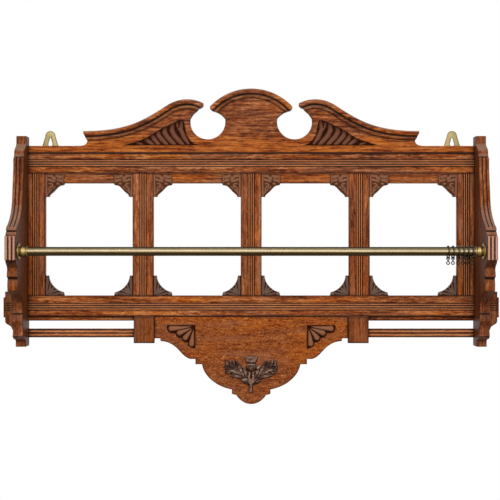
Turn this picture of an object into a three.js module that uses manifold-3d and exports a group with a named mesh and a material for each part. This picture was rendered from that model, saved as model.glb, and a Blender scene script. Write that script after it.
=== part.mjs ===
// Carved oak wall rack: a swan-neck crest over four open bays, two shaped side boards that carry
// a brass rail with six rings, and a carved apron below. Millimetres, +Z up, +X to the viewer's
// right. The wall is the plane Y = 0 and the rack stands out from it towards -Y. The origin is on
// the wall, on the centre line, behind the top rail. "Out" below always means distance from the
// wall, so a point that is out by 16 has Y = -16.
import * as THREE from 'three';
import { mergeVertices } from 'three/addons/utils/BufferGeometryUtils.js';
import Module from 'manifold-3d';

const wasm = await Module();
wasm.setup();

// Driving dimensions of the frame
const CLEAR_WIDTH = 982; // between the inner faces of the side boards
const BAYS = 4;
const BOARD = 16; // thickness of the crest, rails, stiles, headers and apron
const STILE_WIDTH = 46;
const HOUSING = 8; // depth of the rebate in each side board that takes the frame's ends
const RAIL_TOP = 14; // upper edge of the top rail, above the origin
const TOP_RAIL_HEIGHT = 44;
const HEADER_HEIGHT = 22;
const BAY_HEIGHT = 247.5;
const BOTTOM_RAIL_HEIGHT = 55.5;
const LIP_HEIGHT = 10.5; // lower edge of the bottom rail, thinned for the apron and blocks
const LIP = 8; // thickness left there
const TENON = { length: 18, width: 30, thickness: 6 };
const GLUE = 0.15; // clearance round a tenon

// Reeding: half-round ribs sunk flush with the face
const REED_DEPTH = 1.5;
const REED_SHOULDER = 0.8;
const STILE_REED_PITCH = 4.7;
const RAIL_REED_PITCH = 5.1;
const SLAT_REED_PITCH = 7.5;
const TOP_REEDS_DOWN = 22; // middle of the reeds below the top rail's upper edge
const BOTTOM_REEDS_DOWN = 24.5; // middle of the reeds below the bottom rail's upper edge
const END_REED_SHIFT = 2; // end stiles are reeded this much nearer the middle of the rack

// Carved corners of the bays
const CORNER = { across: 41, drop: 30, rise: 44 };
// Edge of an upper corner, from the fillet down to the stem, in shares of its width and drop
const CORNER_SLOPE = [
  [1, 0.07], [0.96, 0.13], [0.76, 0.18], [0.64, 0.31], [0.425, 0.625], [0.235, 0.84], [0.2, 0.93], [0.19, 1],
];
// Edge of a lower corner, from the end of its level leg up to its stem, in shares of its width and rise
const FOOT_SLOPE = [
  [1, 0], [0.98, 0.08], [0.955, 0.165], [0.83, 0.2], [0.715, 0.24], [0.595, 0.31], [0.47, 0.405],
  [0.335, 0.54], [0.235, 0.695], [0.18, 0.84], [0.155, 1],
];

// Crest
const CREST_STRIP = 16; // height of the plain strip that runs from side board to side board
const CREST_INSET = 122; // from each side board to the swan-neck part
const ARCH_RADIUS = 124;
const ARCH_TIP = 90.5; // distance of the arch's tips from the centre line
const ARCH_LIFT = 18; // centre of the arch above the top rail
const HOLE = { x: 95.5, up: 69.1, radius: 38.6, shoulder: 7.5 }; // round cut-outs
const HORN = { neckDrop: 9.6, archDrop: 4.8, chamfer: 4 }; // points over them
// Undersides of the points: out from the hole's middle in shares of its radius, and down from the point
const NECK_UNDERSIDE = [[0.51, 2.4], [0.6, 7], [0.8, 13.4]];
const ARCH_UNDERSIDE = [[0.8, 14.3], [0.58, 8.5]];
const NECK = { x: 141, up: 118.5, radius: 80, tip: 105, leave: 185, end: 48.5 };
const MOULDING = { roll: 11, quirk: 2, bead: 7.5, rollOut: 6.2, beadOut: 3.8, quirkOut: 0.8 };

// Side boards
const SIDE_THICK = 22;
const SIDE_RISE = 20; // above the crest's strip
const TOP_OUT = 36;
const SHOULDER_OUT = 71;
const FULL_OUT = 166;
const WAIST_OUT = 82;
const FOOT_OUT = 43;
const BLOCK_HEIGHT = 51; // reeded block at the brass rail
const FOOT_BELOW = 55; // foot below the bottom rail
const EDGE_GROOVE = { width: 2.2, depth: 2, inset: 7 };
const EAR = { width: 32, rise: 8.7, step: 3.5, tail: 30, thickness: 16 };

// Lower parts
const BLOCK = { inset: 24.8, width: 45, thickness: 20, drop: 49 }; // inset from a stile's middle
const SLAT = { gap: 17.7, height: 19, thickness: 12 };
const APRON = {
  shelf: { from: 13, down: 38.5 }, // `from` the pendant block, `down` from the bottom rail
  cove: { from: 14, down: 44.5 },
  hip: { from: 79, down: 84 },
  ledge: { from: 90.5, down: 95.5 },
  lobe: { from: 105, half: 42.5, down: 151 },
  nose: { half: 33, down: 163, tip: 183 },
};
const THISTLE = { below: 78, half: 59.4, height: 81, out: 5 };

// Brass rail, flanges and rings
const TUBE = { radius: 9.5, wall: 1.2, out: 132, below: 202 };
const SOCKET = { fit: 0.15, endGap: 2 };
const FLANGE = { radius: 18, plate: 3, boss: 12, length: 20 };
const RING = { radius: 12.9, wire: 1.4, hang: 0.3 };
const RING_INSET = [25.8, 35.5, 45.3, 55.2, 66.3, 76.4]; // from the right side board
const RING_YAW = [6, 5.5, 6, 5.5, 6, 5]; // degrees about the upright
const EYELET = { wire: 1.05, upper: 3.05, lower: 3.1, neck: 3.4, hang: 0.3 };

// Hanging plates and screws
const PLATE = { inset: 47, thickness: 2.4, above: 34, below: 38, half: 18, top: 11 };
const KEYHOLE = { wide: 4.8, narrow: 1.5, low: 5, high: 17.5 };
const POCKET_GAP = 0.3;
const SCREW = { head: 3.6, shank: 1.6, length: 12, fit: 0.2, sides: 12 };
const FLANGE_SCREW = { head: 2, shank: 1.1, length: 9, fit: 0.2, sides: 10, at: 15.6 };

// Levels and places that follow from the sizes above
const INNER = CLEAR_WIDTH / 2;
const OUTER = INNER + SIDE_THICK;
const FRAME_END = INNER + HOUSING;
const PITCH = (2 * FRAME_END - STILE_WIDTH) / BAYS;
const BAY_WIDTH = PITCH - STILE_WIDTH;
const CREST_HALF = INNER - CREST_INSET;
const CREST_BASE = RAIL_TOP + CREST_STRIP;
const HOLE_Z = RAIL_TOP + HOLE.up;
const ARCH_CENTRE = RAIL_TOP + ARCH_LIFT;
const NECK_CENTRE = RAIL_TOP + NECK.up - NECK.radius;
const PLATE_X = INNER - PLATE.inset;
const RAIL_BOTTOM = RAIL_TOP - TOP_RAIL_HEIGHT;
const HEADER_BOTTOM = RAIL_BOTTOM - HEADER_HEIGHT;
const SILL = HEADER_BOTTOM - BAY_HEIGHT;
const FRAME_BOTTOM = SILL - BOTTOM_RAIL_HEIGHT;
const LAP_TOP = FRAME_BOTTOM + LIP_HEIGHT;
const SIDE_TOP = CREST_BASE + SIDE_RISE;
const FOOT = FRAME_BOTTOM - FOOT_BELOW;
const BRASS_Z = -TUBE.below;
const BLOCK_TOP = BRASS_Z + 32;
const BLOCK_BOTTOM = BLOCK_TOP - BLOCK_HEIGHT;
const BLOCK_INNER = PITCH - BLOCK.inset;
const BLOCK_OUTER = BLOCK_INNER + BLOCK.width;
const SLAT_TOP = FRAME_BOTTOM - SLAT.gap;
const BOTTOM_REEDS = SILL - BOTTOM_REEDS_DOWN;

// Materials
const oak = () => new THREE.MeshStandardMaterial({ color: 0x8a4a22, roughness: 0.45, metalness: 0 });
const darkOak = () => new THREE.MeshStandardMaterial({ color: 0x4a2f22, roughness: 0.55, metalness: 0 });
const brass = () => new THREE.MeshStandardMaterial({ color: 0x9c8450, roughness: 0.32, metalness: 1 });

const rack = new THREE.Group();

function add(name, geometry, material) {
  const mesh = new THREE.Mesh(geometry, material);
  mesh.name = name;
  rack.add(mesh);
  return mesh;
}

// Cutting and joining
function toSolid(geometry) {
  const bare = geometry.clone();
  bare.deleteAttribute('normal');
  bare.deleteAttribute('uv');
  const merged = mergeVertices(bare, 1e-4);
  return new wasm.Manifold(new wasm.Mesh({
    numProp: 3,
    vertProperties: new Float32Array(merged.attributes.position.array),
    triVerts: new Uint32Array(merged.index.array),
  }));
}

function toGeometry(solid) {
  const mesh = solid.getMesh();
  const geometry = new THREE.BufferGeometry();
  geometry.setAttribute('position', new THREE.BufferAttribute(mesh.vertProperties, 3));
  geometry.setIndex(new THREE.BufferAttribute(mesh.triVerts, 1));
  geometry.computeVertexNormals();
  return geometry;
}

function cut(geometry, cutters) {
  return toGeometry(cutters.reduce((solid, cutter) => solid.subtract(toSolid(cutter)), toSolid(geometry)));
}

function join(first, ...rest) {
  return toGeometry(rest.reduce((solid, piece) => solid.add(toSolid(piece)), toSolid(first)));
}

// Drawing planes: an outline drawn as seen from the front (x, z), and one as seen from the side
// (out, z) or from above (x, out)
const FRONT_VIEW = new THREE.Matrix4().makeBasis(
  new THREE.Vector3(1, 0, 0),
  new THREE.Vector3(0, 0, 1),
  new THREE.Vector3(0, -1, 0),
);
const SIDE_VIEW = new THREE.Matrix4().makeBasis(
  new THREE.Vector3(0, -1, 0),
  new THREE.Vector3(0, 0, 1),
  new THREE.Vector3(-1, 0, 0),
);

const vectors = (pairs) => pairs.map(([u, v]) => new THREE.Vector2(u, v));

function prism(outline, length, curveSegments = 10) {
  const shape = Array.isArray(outline) ? new THREE.Shape(vectors(outline)) : outline;
  return new THREE.ExtrudeGeometry(shape, { depth: length, bevelEnabled: false, curveSegments });
}

// A board drawn from the front, from `back` out to `front`
function frontBoard(outline, back, front, curveSegments) {
  return prism(outline, front - back, curveSegments).applyMatrix4(FRONT_VIEW).translate(0, -back, 0);
}

// A board or moulding drawn from the side, from xLow to xHigh
function sideBoard(outline, xLow, xHigh, curveSegments) {
  return prism(outline, xHigh - xLow, curveSegments).applyMatrix4(SIDE_VIEW).translate(xHigh, 0, 0);
}

// An upright drawn from above, from zLow to zHigh
function upright(outline, zLow, zHigh) {
  return prism(outline.map(([x, out]) => [x, -out]), zHigh - zLow).translate(0, 0, zLow);
}

function box(xLow, xHigh, outLow, outHigh, zLow, zHigh) {
  const geometry = new THREE.BoxGeometry(xHigh - xLow, outHigh - outLow, zHigh - zLow);
  return geometry.translate((xLow + xHigh) / 2, -(outLow + outHigh) / 2, (zLow + zHigh) / 2);
}

function rectangle(u0, u1, v0, v1) {
  return [[u0, v0], [u1, v0], [u1, v1], [u0, v1]];
}

// Mirrored pairs are drawn on the right and flipped to the left
function mirrored(outline) {
  return outline.map(([x, z]) => [-x, z]);
}

// The section of a reeded board: a rectangle from low to high and 0 to thickness, with `count`
// half-round reeds about `middle` on its outer face
function reededSection(low, high, thickness, middle, count, pitch) {
  const first = middle - (count * pitch) / 2;
  const floor = thickness - REED_DEPTH;
  const section = [[low, 0], [low, thickness], [first - REED_SHOULDER, thickness], [first, floor]];
  for (let reed = 0; reed < count; reed += 1) {
    for (let step = 1; step <= 6; step += 1) {
      const turn = (Math.PI * step) / 6;
      const along = first + pitch * (reed + (1 - Math.cos(turn)) / 2);
      section.push([along, floor + REED_DEPTH * Math.sin(turn)]);
    }
  }
  section.push([first + count * pitch + REED_SHOULDER, thickness], [high, thickness], [high, 0]);
  return section;
}

const swap = (outline) => outline.map(([u, v]) => [v, u]);

// A curve from one point to another, with its two handles at shares of the way
function bend(path, [u0, v0], [u1, v1], [a0, b0], [a1, b1]) {
  path.bezierCurveTo(
    u0 + (u1 - u0) * a0, v0 + (v1 - v0) * b0,
    u0 + (u1 - u0) * a1, v0 + (v1 - v0) * b1,
    u1, v1,
  );
}

// Crest board
function neckCurve(shape) {
  const bottom = RAIL_TOP + NECK.end;
  const leaveAngle = Math.acos((NECK.leave - NECK.x) / NECK.radius);
  const leaveZ = NECK_CENTRE + NECK.radius * Math.sin(leaveAngle);
  const reach = CREST_HALF - NECK.leave;
  const slope = 1 / Math.tan(leaveAngle);
  shape.bezierCurveTo(
    CREST_HALF - 0.51 * reach, bottom,
    NECK.leave + 0.29 * reach, leaveZ - 0.29 * reach * Math.abs(slope),
    NECK.leave, leaveZ,
  );
  const tipAngle = Math.acos((NECK.tip - NECK.x) / NECK.radius);
  shape.absarc(NECK.x, NECK_CENTRE, NECK.radius, leaveAngle, tipAngle, false);
}

// Height of a circle's edge above its centre, at a distance from its middle
const rise = (radius, across) => Math.sqrt(radius ** 2 - across ** 2);

function crestRightHalf() {
  const shape = new THREE.Path();
  const shoulderAngle = Math.asin(HOLE.shoulder / HOLE.radius);
  const neckHorn = NECK_CENTRE + rise(NECK.radius, NECK.x - NECK.tip) - HORN.neckDrop;
  const archHorn = ARCH_CENTRE + rise(ARCH_RADIUS, ARCH_TIP) - HORN.archDrop;
  const archAngle = Math.acos(ARCH_TIP / ARCH_RADIUS);
  shape.moveTo(FRAME_END, RAIL_TOP);
  shape.lineTo(FRAME_END, CREST_BASE);
  shape.lineTo(CREST_HALF + 8, CREST_BASE);
  shape.quadraticCurveTo(CREST_HALF - 8, CREST_BASE + 1, CREST_HALF - 8.5, CREST_BASE + 12);
  shape.lineTo(CREST_HALF - 5, CREST_BASE + 17);
  shape.lineTo(CREST_HALF, CREST_BASE + 28);
  shape.lineTo(CREST_HALF, RAIL_TOP + NECK.end);
  neckCurve(shape);
  shape.lineTo(NECK.tip, neckHorn + HORN.chamfer);
  shape.lineTo(NECK.tip + HORN.chamfer, neckHorn);
  NECK_UNDERSIDE.forEach(([out, down]) => shape.lineTo(HOLE.x + out * HOLE.radius, neckHorn - down));
  shape.absarc(HOLE.x, HOLE_Z, HOLE.radius, shoulderAngle, Math.PI - shoulderAngle, true);
  ARCH_UNDERSIDE.forEach(([out, down]) => shape.lineTo(HOLE.x - out * HOLE.radius, archHorn - down));
  shape.lineTo(ARCH_TIP - HORN.chamfer, archHorn - HORN.chamfer);
  shape.lineTo(ARCH_TIP, archHorn);
  shape.absarc(0, ARCH_CENTRE, ARCH_RADIUS, archAngle, Math.PI / 2, false);
  return shape.getPoints(20).map((p) => [p.x, p.y]);
}

function crestOutline() {
  const right = crestRightHalf();
  const left = mirrored(right.slice(0, -1)).reverse();
  return [...right, ...left];
}

// Half-round humps for a moulding's section: (out, down) from the crest's edge
function hump(from, width, base, height, steps) {
  const points = [];
  for (let step = 0; step <= steps; step += 1) {
    const turn = (Math.PI * step) / steps;
    points.push([base + (height - base) * Math.sin(turn), from + (width * (1 - Math.cos(turn))) / 2]);
  }
  return points;
}

function mouldingSection() {
  const beadStart = MOULDING.roll + MOULDING.quirk;
  const roll = hump(0, MOULDING.roll, 2, MOULDING.rollOut, 8);
  const bead = hump(beadStart, MOULDING.bead, 1.6, MOULDING.beadOut, 6);
  const quirk = [[MOULDING.quirkOut, MOULDING.roll + 0.2], [MOULDING.quirkOut, beadStart - 0.2]];
  const points = [[0, 0], ...roll, ...quirk, ...bead, [0, beadStart + MOULDING.bead]];
  return new THREE.Shape(vectors(points));
}

// Sweeps the moulding along points given from left to right, and trims it to the crest's outline
function crestMoulding(points, steps) {
  const reach = 8;
  const beyond = (end, inner) => new THREE.Vector2().subVectors(end, inner).setLength(reach).add(end);
  const before = beyond(points[0], points[1]);
  const after = beyond(points[points.length - 1], points[points.length - 2]);
  const route = new THREE.CatmullRomCurve3(
    [before, ...points, after].map((p) => new THREE.Vector3(p.x, -BOARD, p.y)),
  );
  const sweep = new THREE.ExtrudeGeometry(mouldingSection(), { steps, extrudePath: route });
  const limit = frontBoard(crestOutline(), 0, BOARD + 2 * MOULDING.rollOut);
  return toGeometry(toSolid(sweep).intersect(toSolid(limit)));
}

function neckPoints() {
  const path = new THREE.Path();
  path.moveTo(CREST_HALF, RAIL_TOP + NECK.end);
  neckCurve(path);
  return path.getSpacedPoints(18).reverse();
}

function buildCrest() {
  const pockets = [-1, 1].map((side) => platePocket(side));
  add('crest_board', cut(frontBoard(crestOutline(), 0, BOARD), pockets), oak());
  const right = neckPoints();
  const left = right.map((p) => new THREE.Vector2(-p.x, p.y)).reverse();
  const half = Math.asin(ARCH_TIP / ARCH_RADIUS);
  const arch = [];
  for (let step = -9; step <= 9; step += 1) {
    const turn = (half * step) / 9;
    arch.push(new THREE.Vector2(ARCH_RADIUS * Math.sin(turn), ARCH_CENTRE + ARCH_RADIUS * Math.cos(turn)));
  }
  add('crest_moulding_left', crestMoulding(left, 40), oak());
  add('crest_moulding_arch', crestMoulding(arch, 28), oak());
  add('crest_moulding_right', crestMoulding(right, 40), oak());
}

// Rails, stiles and headers
const stileX = (index) => (index - BAYS / 2) * PITCH;

function tenonBox(x, zLow, zHigh, gap) {
  const middle = BOARD / 2;
  const half = TENON.thickness / 2 + gap;
  return box(x - TENON.width / 2 - gap, x + TENON.width / 2 + gap, middle - half, middle + half, zLow, zHigh);
}

function mortises(zLow, zHigh) {
  return Array.from({ length: BAYS + 1 }, (_, index) => tenonBox(stileX(index), zLow, zHigh, GLUE));
}

function buildRails() {
  const topReeds = RAIL_TOP - TOP_REEDS_DOWN;
  const topSection = reededSection(RAIL_BOTTOM, RAIL_TOP, BOARD, topReeds, 3, RAIL_REED_PITCH);
  const topCuts = [
    ...mortises(RAIL_BOTTOM - 1, RAIL_BOTTOM + TENON.length + GLUE),
    ...[-1, 1].map((side) => platePocket(side)),
    ...[-1, 1].flatMap((side) => plateScrewPlaces(side).map((place) => hangerScrew(place, SCREW.fit))),
  ];
  add('top_rail', cut(sideBoard(swap(topSection), -FRAME_END, FRAME_END), topCuts), oak());
  const lowSection = reededSection(LAP_TOP, SILL, BOARD, BOTTOM_REEDS, 3, RAIL_REED_PITCH).slice(1, -1);
  const lowOutline = [[FRAME_BOTTOM, 0], [FRAME_BOTTOM, LIP], [LAP_TOP, LIP], ...lowSection, [SILL, 0]];
  const lowCuts = mortises(SILL - TENON.length - GLUE, SILL + 1);
  add('bottom_rail', cut(sideBoard(swap(lowOutline), -FRAME_END, FRAME_END), lowCuts), oak());
}

function buildStiles() {
  for (let index = 0; index <= BAYS; index += 1) {
    const x = stileX(index);
    const side = Math.abs(index - BAYS / 2) === BAYS / 2 ? Math.sign(x) : 0;
    const section = reededSection(
      x - STILE_WIDTH / 2, x + STILE_WIDTH / 2, BOARD, x - side * END_REED_SHIFT, 3, STILE_REED_PITCH,
    );
    const post = upright(section, SILL, RAIL_BOTTOM);
    const head = tenonBox(x, RAIL_BOTTOM - 1, RAIL_BOTTOM + TENON.length, 0);
    const foot = tenonBox(x, SILL - TENON.length, SILL + 1, 0);
    add(`stile_${index + 1}`, join(post, head, foot), oak());
  }
}

function buildHeaders() {
  const slope = CORNER_SLOPE.map(([across, down]) => [across * CORNER.across, down * CORNER.drop]);
  const leg = [...slope, [0, CORNER.drop]];
  for (let bay = 0; bay < BAYS; bay += 1) {
    const left = stileX(bay) + STILE_WIDTH / 2;
    const right = left + BAY_WIDTH;
    const leftLeg = [[CORNER.across, 0], ...leg].map(([u, v]) => [left + u, HEADER_BOTTOM - v]);
    const rightLeg = [[CORNER.across, 0], ...leg].map(([u, v]) => [right - u, HEADER_BOTTOM - v]);
    const outline = [[left, RAIL_BOTTOM], [right, RAIL_BOTTOM], ...rightLeg.reverse(), ...leftLeg];
    add(`header_${bay + 1}`, frontBoard(outline, 0, BOARD), oak());
  }
}

function buildCorners() {
  const slope = FOOT_SLOPE.map(([across, up]) => [across * CORNER.across, up * CORNER.rise]);
  const leg = [[0, 0], ...slope, [0, CORNER.rise]];
  for (let bay = 0; bay < BAYS; bay += 1) {
    const left = stileX(bay) + STILE_WIDTH / 2;
    const right = left + BAY_WIDTH;
    const leftLeg = leg.map(([u, v]) => [left + u, SILL + v]);
    const rightLeg = leg.map(([u, v]) => [right - u, SILL + v]);
    add(`corner_${bay + 1}_left`, frontBoard(leftLeg, 0, BOARD), darkOak());
    add(`corner_${bay + 1}_right`, frontBoard(rightLeg, 0, BOARD), darkOak());
  }
}

// Side boards. The reeded run is the part of the front edge between the shoulder and the block.
function reededRun() {
  const run = new THREE.Path();
  const hipZ = BLOCK_TOP + 78;
  run.moveTo(SHOULDER_OUT - 1.5, SIDE_TOP - 49.5);
  run.lineTo(SHOULDER_OUT, SIDE_TOP - 55);
  run.lineTo(SHOULDER_OUT, SIDE_TOP - 72);
  run.lineTo(SHOULDER_OUT + 14, hipZ);
  run.bezierCurveTo(
    SHOULDER_OUT + 17, hipZ - 20,
    FULL_OUT - 54, BLOCK_TOP + 32,
    FULL_OUT - 18, BLOCK_TOP + 19,
  );
  return run.getPoints(14);
}

// A notch across the front edge, between two levels, cut back to `out`
const notch = (out, high, low) => [[out, high], [out, low]];

function sideOutline() {
  const shoulder = new THREE.Path();
  shoulder.moveTo(TOP_OUT, SIDE_TOP - 15.5);
  shoulder.bezierCurveTo(
    TOP_OUT + 4, SIDE_TOP - 27,
    SHOULDER_OUT - 11, SIDE_TOP - 26,
    SHOULDER_OUT - 10.5, SIDE_TOP - 38.5,
  );
  const sweep = new THREE.Path();
  const tipZ = BLOCK_BOTTOM - 64.5;
  const waistZ = LAP_TOP + 20.5;
  sweep.moveTo(FULL_OUT - 31, tipZ);
  sweep.bezierCurveTo(
    FULL_OUT - 61, tipZ - 5,
    WAIST_OUT - 1, tipZ - 20,
    WAIST_OUT - 3, waistZ,
  );
  const heel = new THREE.Path();
  heel.moveTo(WAIST_OUT - 3, FOOT + 25);
  heel.bezierCurveTo(
    WAIST_OUT - 10, FOOT + 16,
    FOOT_OUT + 3, FOOT + 18,
    FOOT_OUT, FOOT + 12.5,
  );
  const pairs = (path, steps) => path.getPoints(steps).map((p) => [p.x, p.y]);
  return [
    [0, SIDE_TOP],
    [TOP_OUT, SIDE_TOP],
    ...pairs(shoulder, 12),
    [SHOULDER_OUT - 10.5, SIDE_TOP - 41],
    [SHOULDER_OUT - 5, SIDE_TOP - 47.5],
    ...notch(SHOULDER_OUT - 9, SIDE_TOP - 47.5, SIDE_TOP - 49.5),
    ...reededRun().map((p) => [p.x, p.y]),
    [FULL_OUT - 13, BLOCK_TOP + 11.5],
    ...notch(FULL_OUT - 18.5, BLOCK_TOP + 11.5, BLOCK_TOP + 9.5),
    [FULL_OUT - 14, BLOCK_TOP + 9],
    [FULL_OUT - 9, BLOCK_TOP + 2.5],
    [FULL_OUT - 9, BLOCK_TOP],
    [FULL_OUT, BLOCK_TOP],
    [FULL_OUT, BLOCK_BOTTOM],
    [FULL_OUT - 9, BLOCK_BOTTOM],
    [FULL_OUT - 9, BLOCK_BOTTOM - 4],
    [FULL_OUT - 15, BLOCK_BOTTOM - 8],
    [FULL_OUT - 24, BLOCK_BOTTOM - 13],
    [FULL_OUT - 28, BLOCK_BOTTOM - 19],
    [FULL_OUT - 23.5, BLOCK_BOTTOM - 31],
    [FULL_OUT - 23.5, BLOCK_BOTTOM - 35],
    ...notch(FULL_OUT - 28, BLOCK_BOTTOM - 35, BLOCK_BOTTOM - 37),
    [FULL_OUT - 33, BLOCK_BOTTOM - 38],
    [FULL_OUT - 29.5, BLOCK_BOTTOM - 48],
    [FULL_OUT - 29.5, BLOCK_BOTTOM - 54],
    ...pairs(sweep, 14),
    [WAIST_OUT + 1, LAP_TOP + 9],
    ...notch(WAIST_OUT - 3.5, LAP_TOP + 9, LAP_TOP + 7),
    [WAIST_OUT - 2, LAP_TOP + 7],
    [WAIST_OUT + 2, LAP_TOP - 7],
    [WAIST_OUT, LAP_TOP - 13],
    [WAIST_OUT - 8, FOOT + 42],
    [WAIST_OUT - 5, FOOT + 30],
    ...pairs(heel, 10),
    [FOOT_OUT, FOOT],
    [0, FOOT],
  ];
}

// A thin strip along a stretch of the front edge, sunk by `depth`: points run down the edge
function edgeGroove(points, depth, outside) {
  const inner = [];
  const outer = [];
  points.forEach((point, index) => {
    const before = points[Math.max(index - 1, 0)];
    const after = points[Math.min(index + 1, points.length - 1)];
    const along = new THREE.Vector2().subVectors(after, before).normalize();
    const inward = new THREE.Vector2(along.y, -along.x);
    inner.push([point.x + inward.x * depth, point.y + inward.y * depth]);
    outer.push([point.x - inward.x * outside, point.y - inward.y * outside]);
  });
  return [...inner, ...outer.reverse()];
}

function buildSide(side) {
  const low = side > 0 ? INNER : -OUTER;
  const high = side > 0 ? OUTER : -INNER;
  const block = vectors([[FULL_OUT, BLOCK_TOP + 1], [FULL_OUT, BLOCK_BOTTOM - 1]]);
  const half = EDGE_GROOVE.width / 2;
  const grooves = [low + EDGE_GROOVE.inset, high - EDGE_GROOVE.inset].flatMap((x) => [
    sideBoard(edgeGroove(reededRun(), EDGE_GROOVE.depth, 4), x - half, x + half),
    sideBoard(edgeGroove(block, EDGE_GROOVE.depth, 4), x - half, x + half),
  ]);
  const housing = box(
    side > 0 ? INNER - 1 : -FRAME_END, side > 0 ? FRAME_END : -INNER + 1,
    -1, BOARD, FRAME_BOTTOM, CREST_BASE,
  );
  const holes = flangeScrewPlaces().map((place) => flangeScrew(side, place, FLANGE_SCREW.fit));
  const name = side > 0 ? 'side_board_right' : 'side_board_left';
  add(name, cut(sideBoard(sideOutline(), low, high), [...grooves, housing, ...holes]), oak());
}

// Ears: shaped pieces glued outside the side boards, in line with the bottom rail
function buildEar(side) {
  const edge = OUTER + EAR.width;
  const right = new THREE.Path();
  right.moveTo(OUTER, SILL + EAR.rise);
  right.lineTo(edge - EAR.step, SILL + EAR.rise);
  right.lineTo(edge - EAR.step, SILL - 4);
  right.lineTo(edge, SILL - 4);
  right.lineTo(edge, LAP_TOP - 3);
  right.lineTo(edge - EAR.step, LAP_TOP - 3);
  right.lineTo(edge - EAR.step, FRAME_BOTTOM - 1.5);
  right.bezierCurveTo(
    edge - EAR.step - 2, FRAME_BOTTOM - 10,
    OUTER + 15, FRAME_BOTTOM - 8,
    OUTER + 13, FRAME_BOTTOM - 18,
  );
  right.quadraticCurveTo(OUTER + 8, FRAME_BOTTOM - 26, OUTER, FRAME_BOTTOM - EAR.tail);
  const outline = right.getPoints(10).map((p) => [side * p.x, p.y]);
  const grooves = [-1.5, -0.5, 0.5, 1.5].map((step) => {
    const z = BOTTOM_REEDS + step * RAIL_REED_PITCH;
    const section = [
      [EAR.thickness + 1, z - 1.6], [EAR.thickness - REED_DEPTH, z], [EAR.thickness + 1, z + 1.6],
    ];
    return sideBoard(section, -edge - 1, edge + 1);
  });
  const name = side > 0 ? 'ear_right' : 'ear_left';
  add(name, cut(frontBoard(outline, 0, EAR.thickness), grooves), oak());
}

// Pendant blocks, slats and apron below the bottom rail
const lap = () => box(-FRAME_END, FRAME_END, -1, LIP, FRAME_BOTTOM, LAP_TOP + 1);

function buildBlock(side) {
  const low = side > 0 ? BLOCK_INNER : -BLOCK_OUTER;
  const high = low + BLOCK.width;
  const bottom = FRAME_BOTTOM - BLOCK.drop;
  const name = side > 0 ? 'pendant_block_right' : 'pendant_block_left';
  const front = [
    [0, bottom], [BLOCK.thickness - 2, bottom], [BLOCK.thickness, bottom + 2],
    [BLOCK.thickness, LAP_TOP - 3], [BOARD, LAP_TOP - 1], [BOARD, LAP_TOP], [0, LAP_TOP],
  ];
  add(name, cut(sideBoard(front, low, high), [lap()]), oak());
}

function buildSlat(side) {
  const low = side > 0 ? BLOCK_OUTER : -INNER;
  const high = side > 0 ? INNER : -BLOCK_OUTER;
  const middle = SLAT_TOP - SLAT.height / 2;
  const section = reededSection(SLAT_TOP - SLAT.height, SLAT_TOP, SLAT.thickness, middle, 2, SLAT_REED_PITCH);
  add(side > 0 ? 'slat_right' : 'slat_left', sideBoard(swap(section), low, high), oak());
}

function apronRightHalf() {
  const at = ({ from, down }) => [BLOCK_INNER - from, FRAME_BOTTOM - down];
  const { shelf: shelfAt, cove: coveAt, hip: hipAt, ledge: ledgeAt, lobe: lobeAt } = APRON;
  const [shelf, cove, hip, ledge, lobe] = [shelfAt, coveAt, hipAt, ledgeAt, lobeAt].map(at);
  const noseTop = [APRON.nose.half, FRAME_BOTTOM - APRON.nose.down];
  const edge = APRON.lobe.half;
  const path = new THREE.Path();
  path.moveTo(BLOCK_INNER, LAP_TOP);
  path.lineTo(BLOCK_INNER, shelf[1]);
  path.lineTo(...shelf);
  path.lineTo(...cove);
  bend(path, cove, hip, [0.6, 0.063], [0.63, 0.823]);
  path.lineTo(ledge[0], hip[1]);
  path.lineTo(...ledge);
  path.lineTo(lobe[0], ledge[1]);
  bend(path, [lobe[0], ledge[1]], [edge, lobe[1]], [0.044, 0.405], [0.41, 0.874]);
  path.lineTo(edge, noseTop[1] + 2.5);
  path.lineTo(edge - 4.5, noseTop[1] + 1);
  path.lineTo(...noseTop);
  bend(path, noseTop, [0, FRAME_BOTTOM - APRON.nose.tip], [0.16, 0.42], [0.5, 1]);
  return path.getPoints(14).map((p) => [p.x, p.y]);
}

function buildApron() {
  const right = apronRightHalf();
  const left = mirrored(right.slice(0, -1)).reverse();
  add('apron', cut(frontBoard([...right, ...left], 0, BOARD), [lap()]), oak());
}

// The thistle: a tuft over a round bulb, two spreading toothed leaves and a stem, as one plain
// relief. Its right half is drawn in shares of half its width and of its height.
const THISTLE_HALF = [
  [0, 0], [0.22, 0], [0.22, 0.04], [0.15, 0.17], [0.2, 0.23], [0.2, 0.32], [0.14, 0.41], [0.25, 0.32],
  [0.39, 0.26], [0.46, 0.12], [0.53, 0.17], [0.61, 0.1], [0.69, 0.16], [0.79, 0.1], [0.94, 0.12],
  [1, 0.16], [0.95, 0.25], [1, 0.38], [0.92, 0.43], [0.79, 0.47], [0.75, 0.59], [0.64, 0.56],
  [0.51, 0.62], [0.39, 0.69], [0.29, 0.65], [0.15, 0.68], [0.08, 0.77], [0.055, 1],
];

function buildThistle() {
  const top = FRAME_BOTTOM - THISTLE.below;
  const right = THISTLE_HALF.map(([across, down]) => [across * THISTLE.half, top - down * THISTLE.height]);
  const left = mirrored(right.slice(1)).reverse();
  add('thistle_carving', frontBoard([...right, ...left], BOARD, BOARD + THISTLE.out), darkOak());
}

// Brass rail: a tube held in a turned flange at each side board
function turned(profile, sides) {
  const points = profile.map(([radius, along]) => new THREE.Vector2(radius, along));
  return new THREE.LatheGeometry(points, sides);
}

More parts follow.
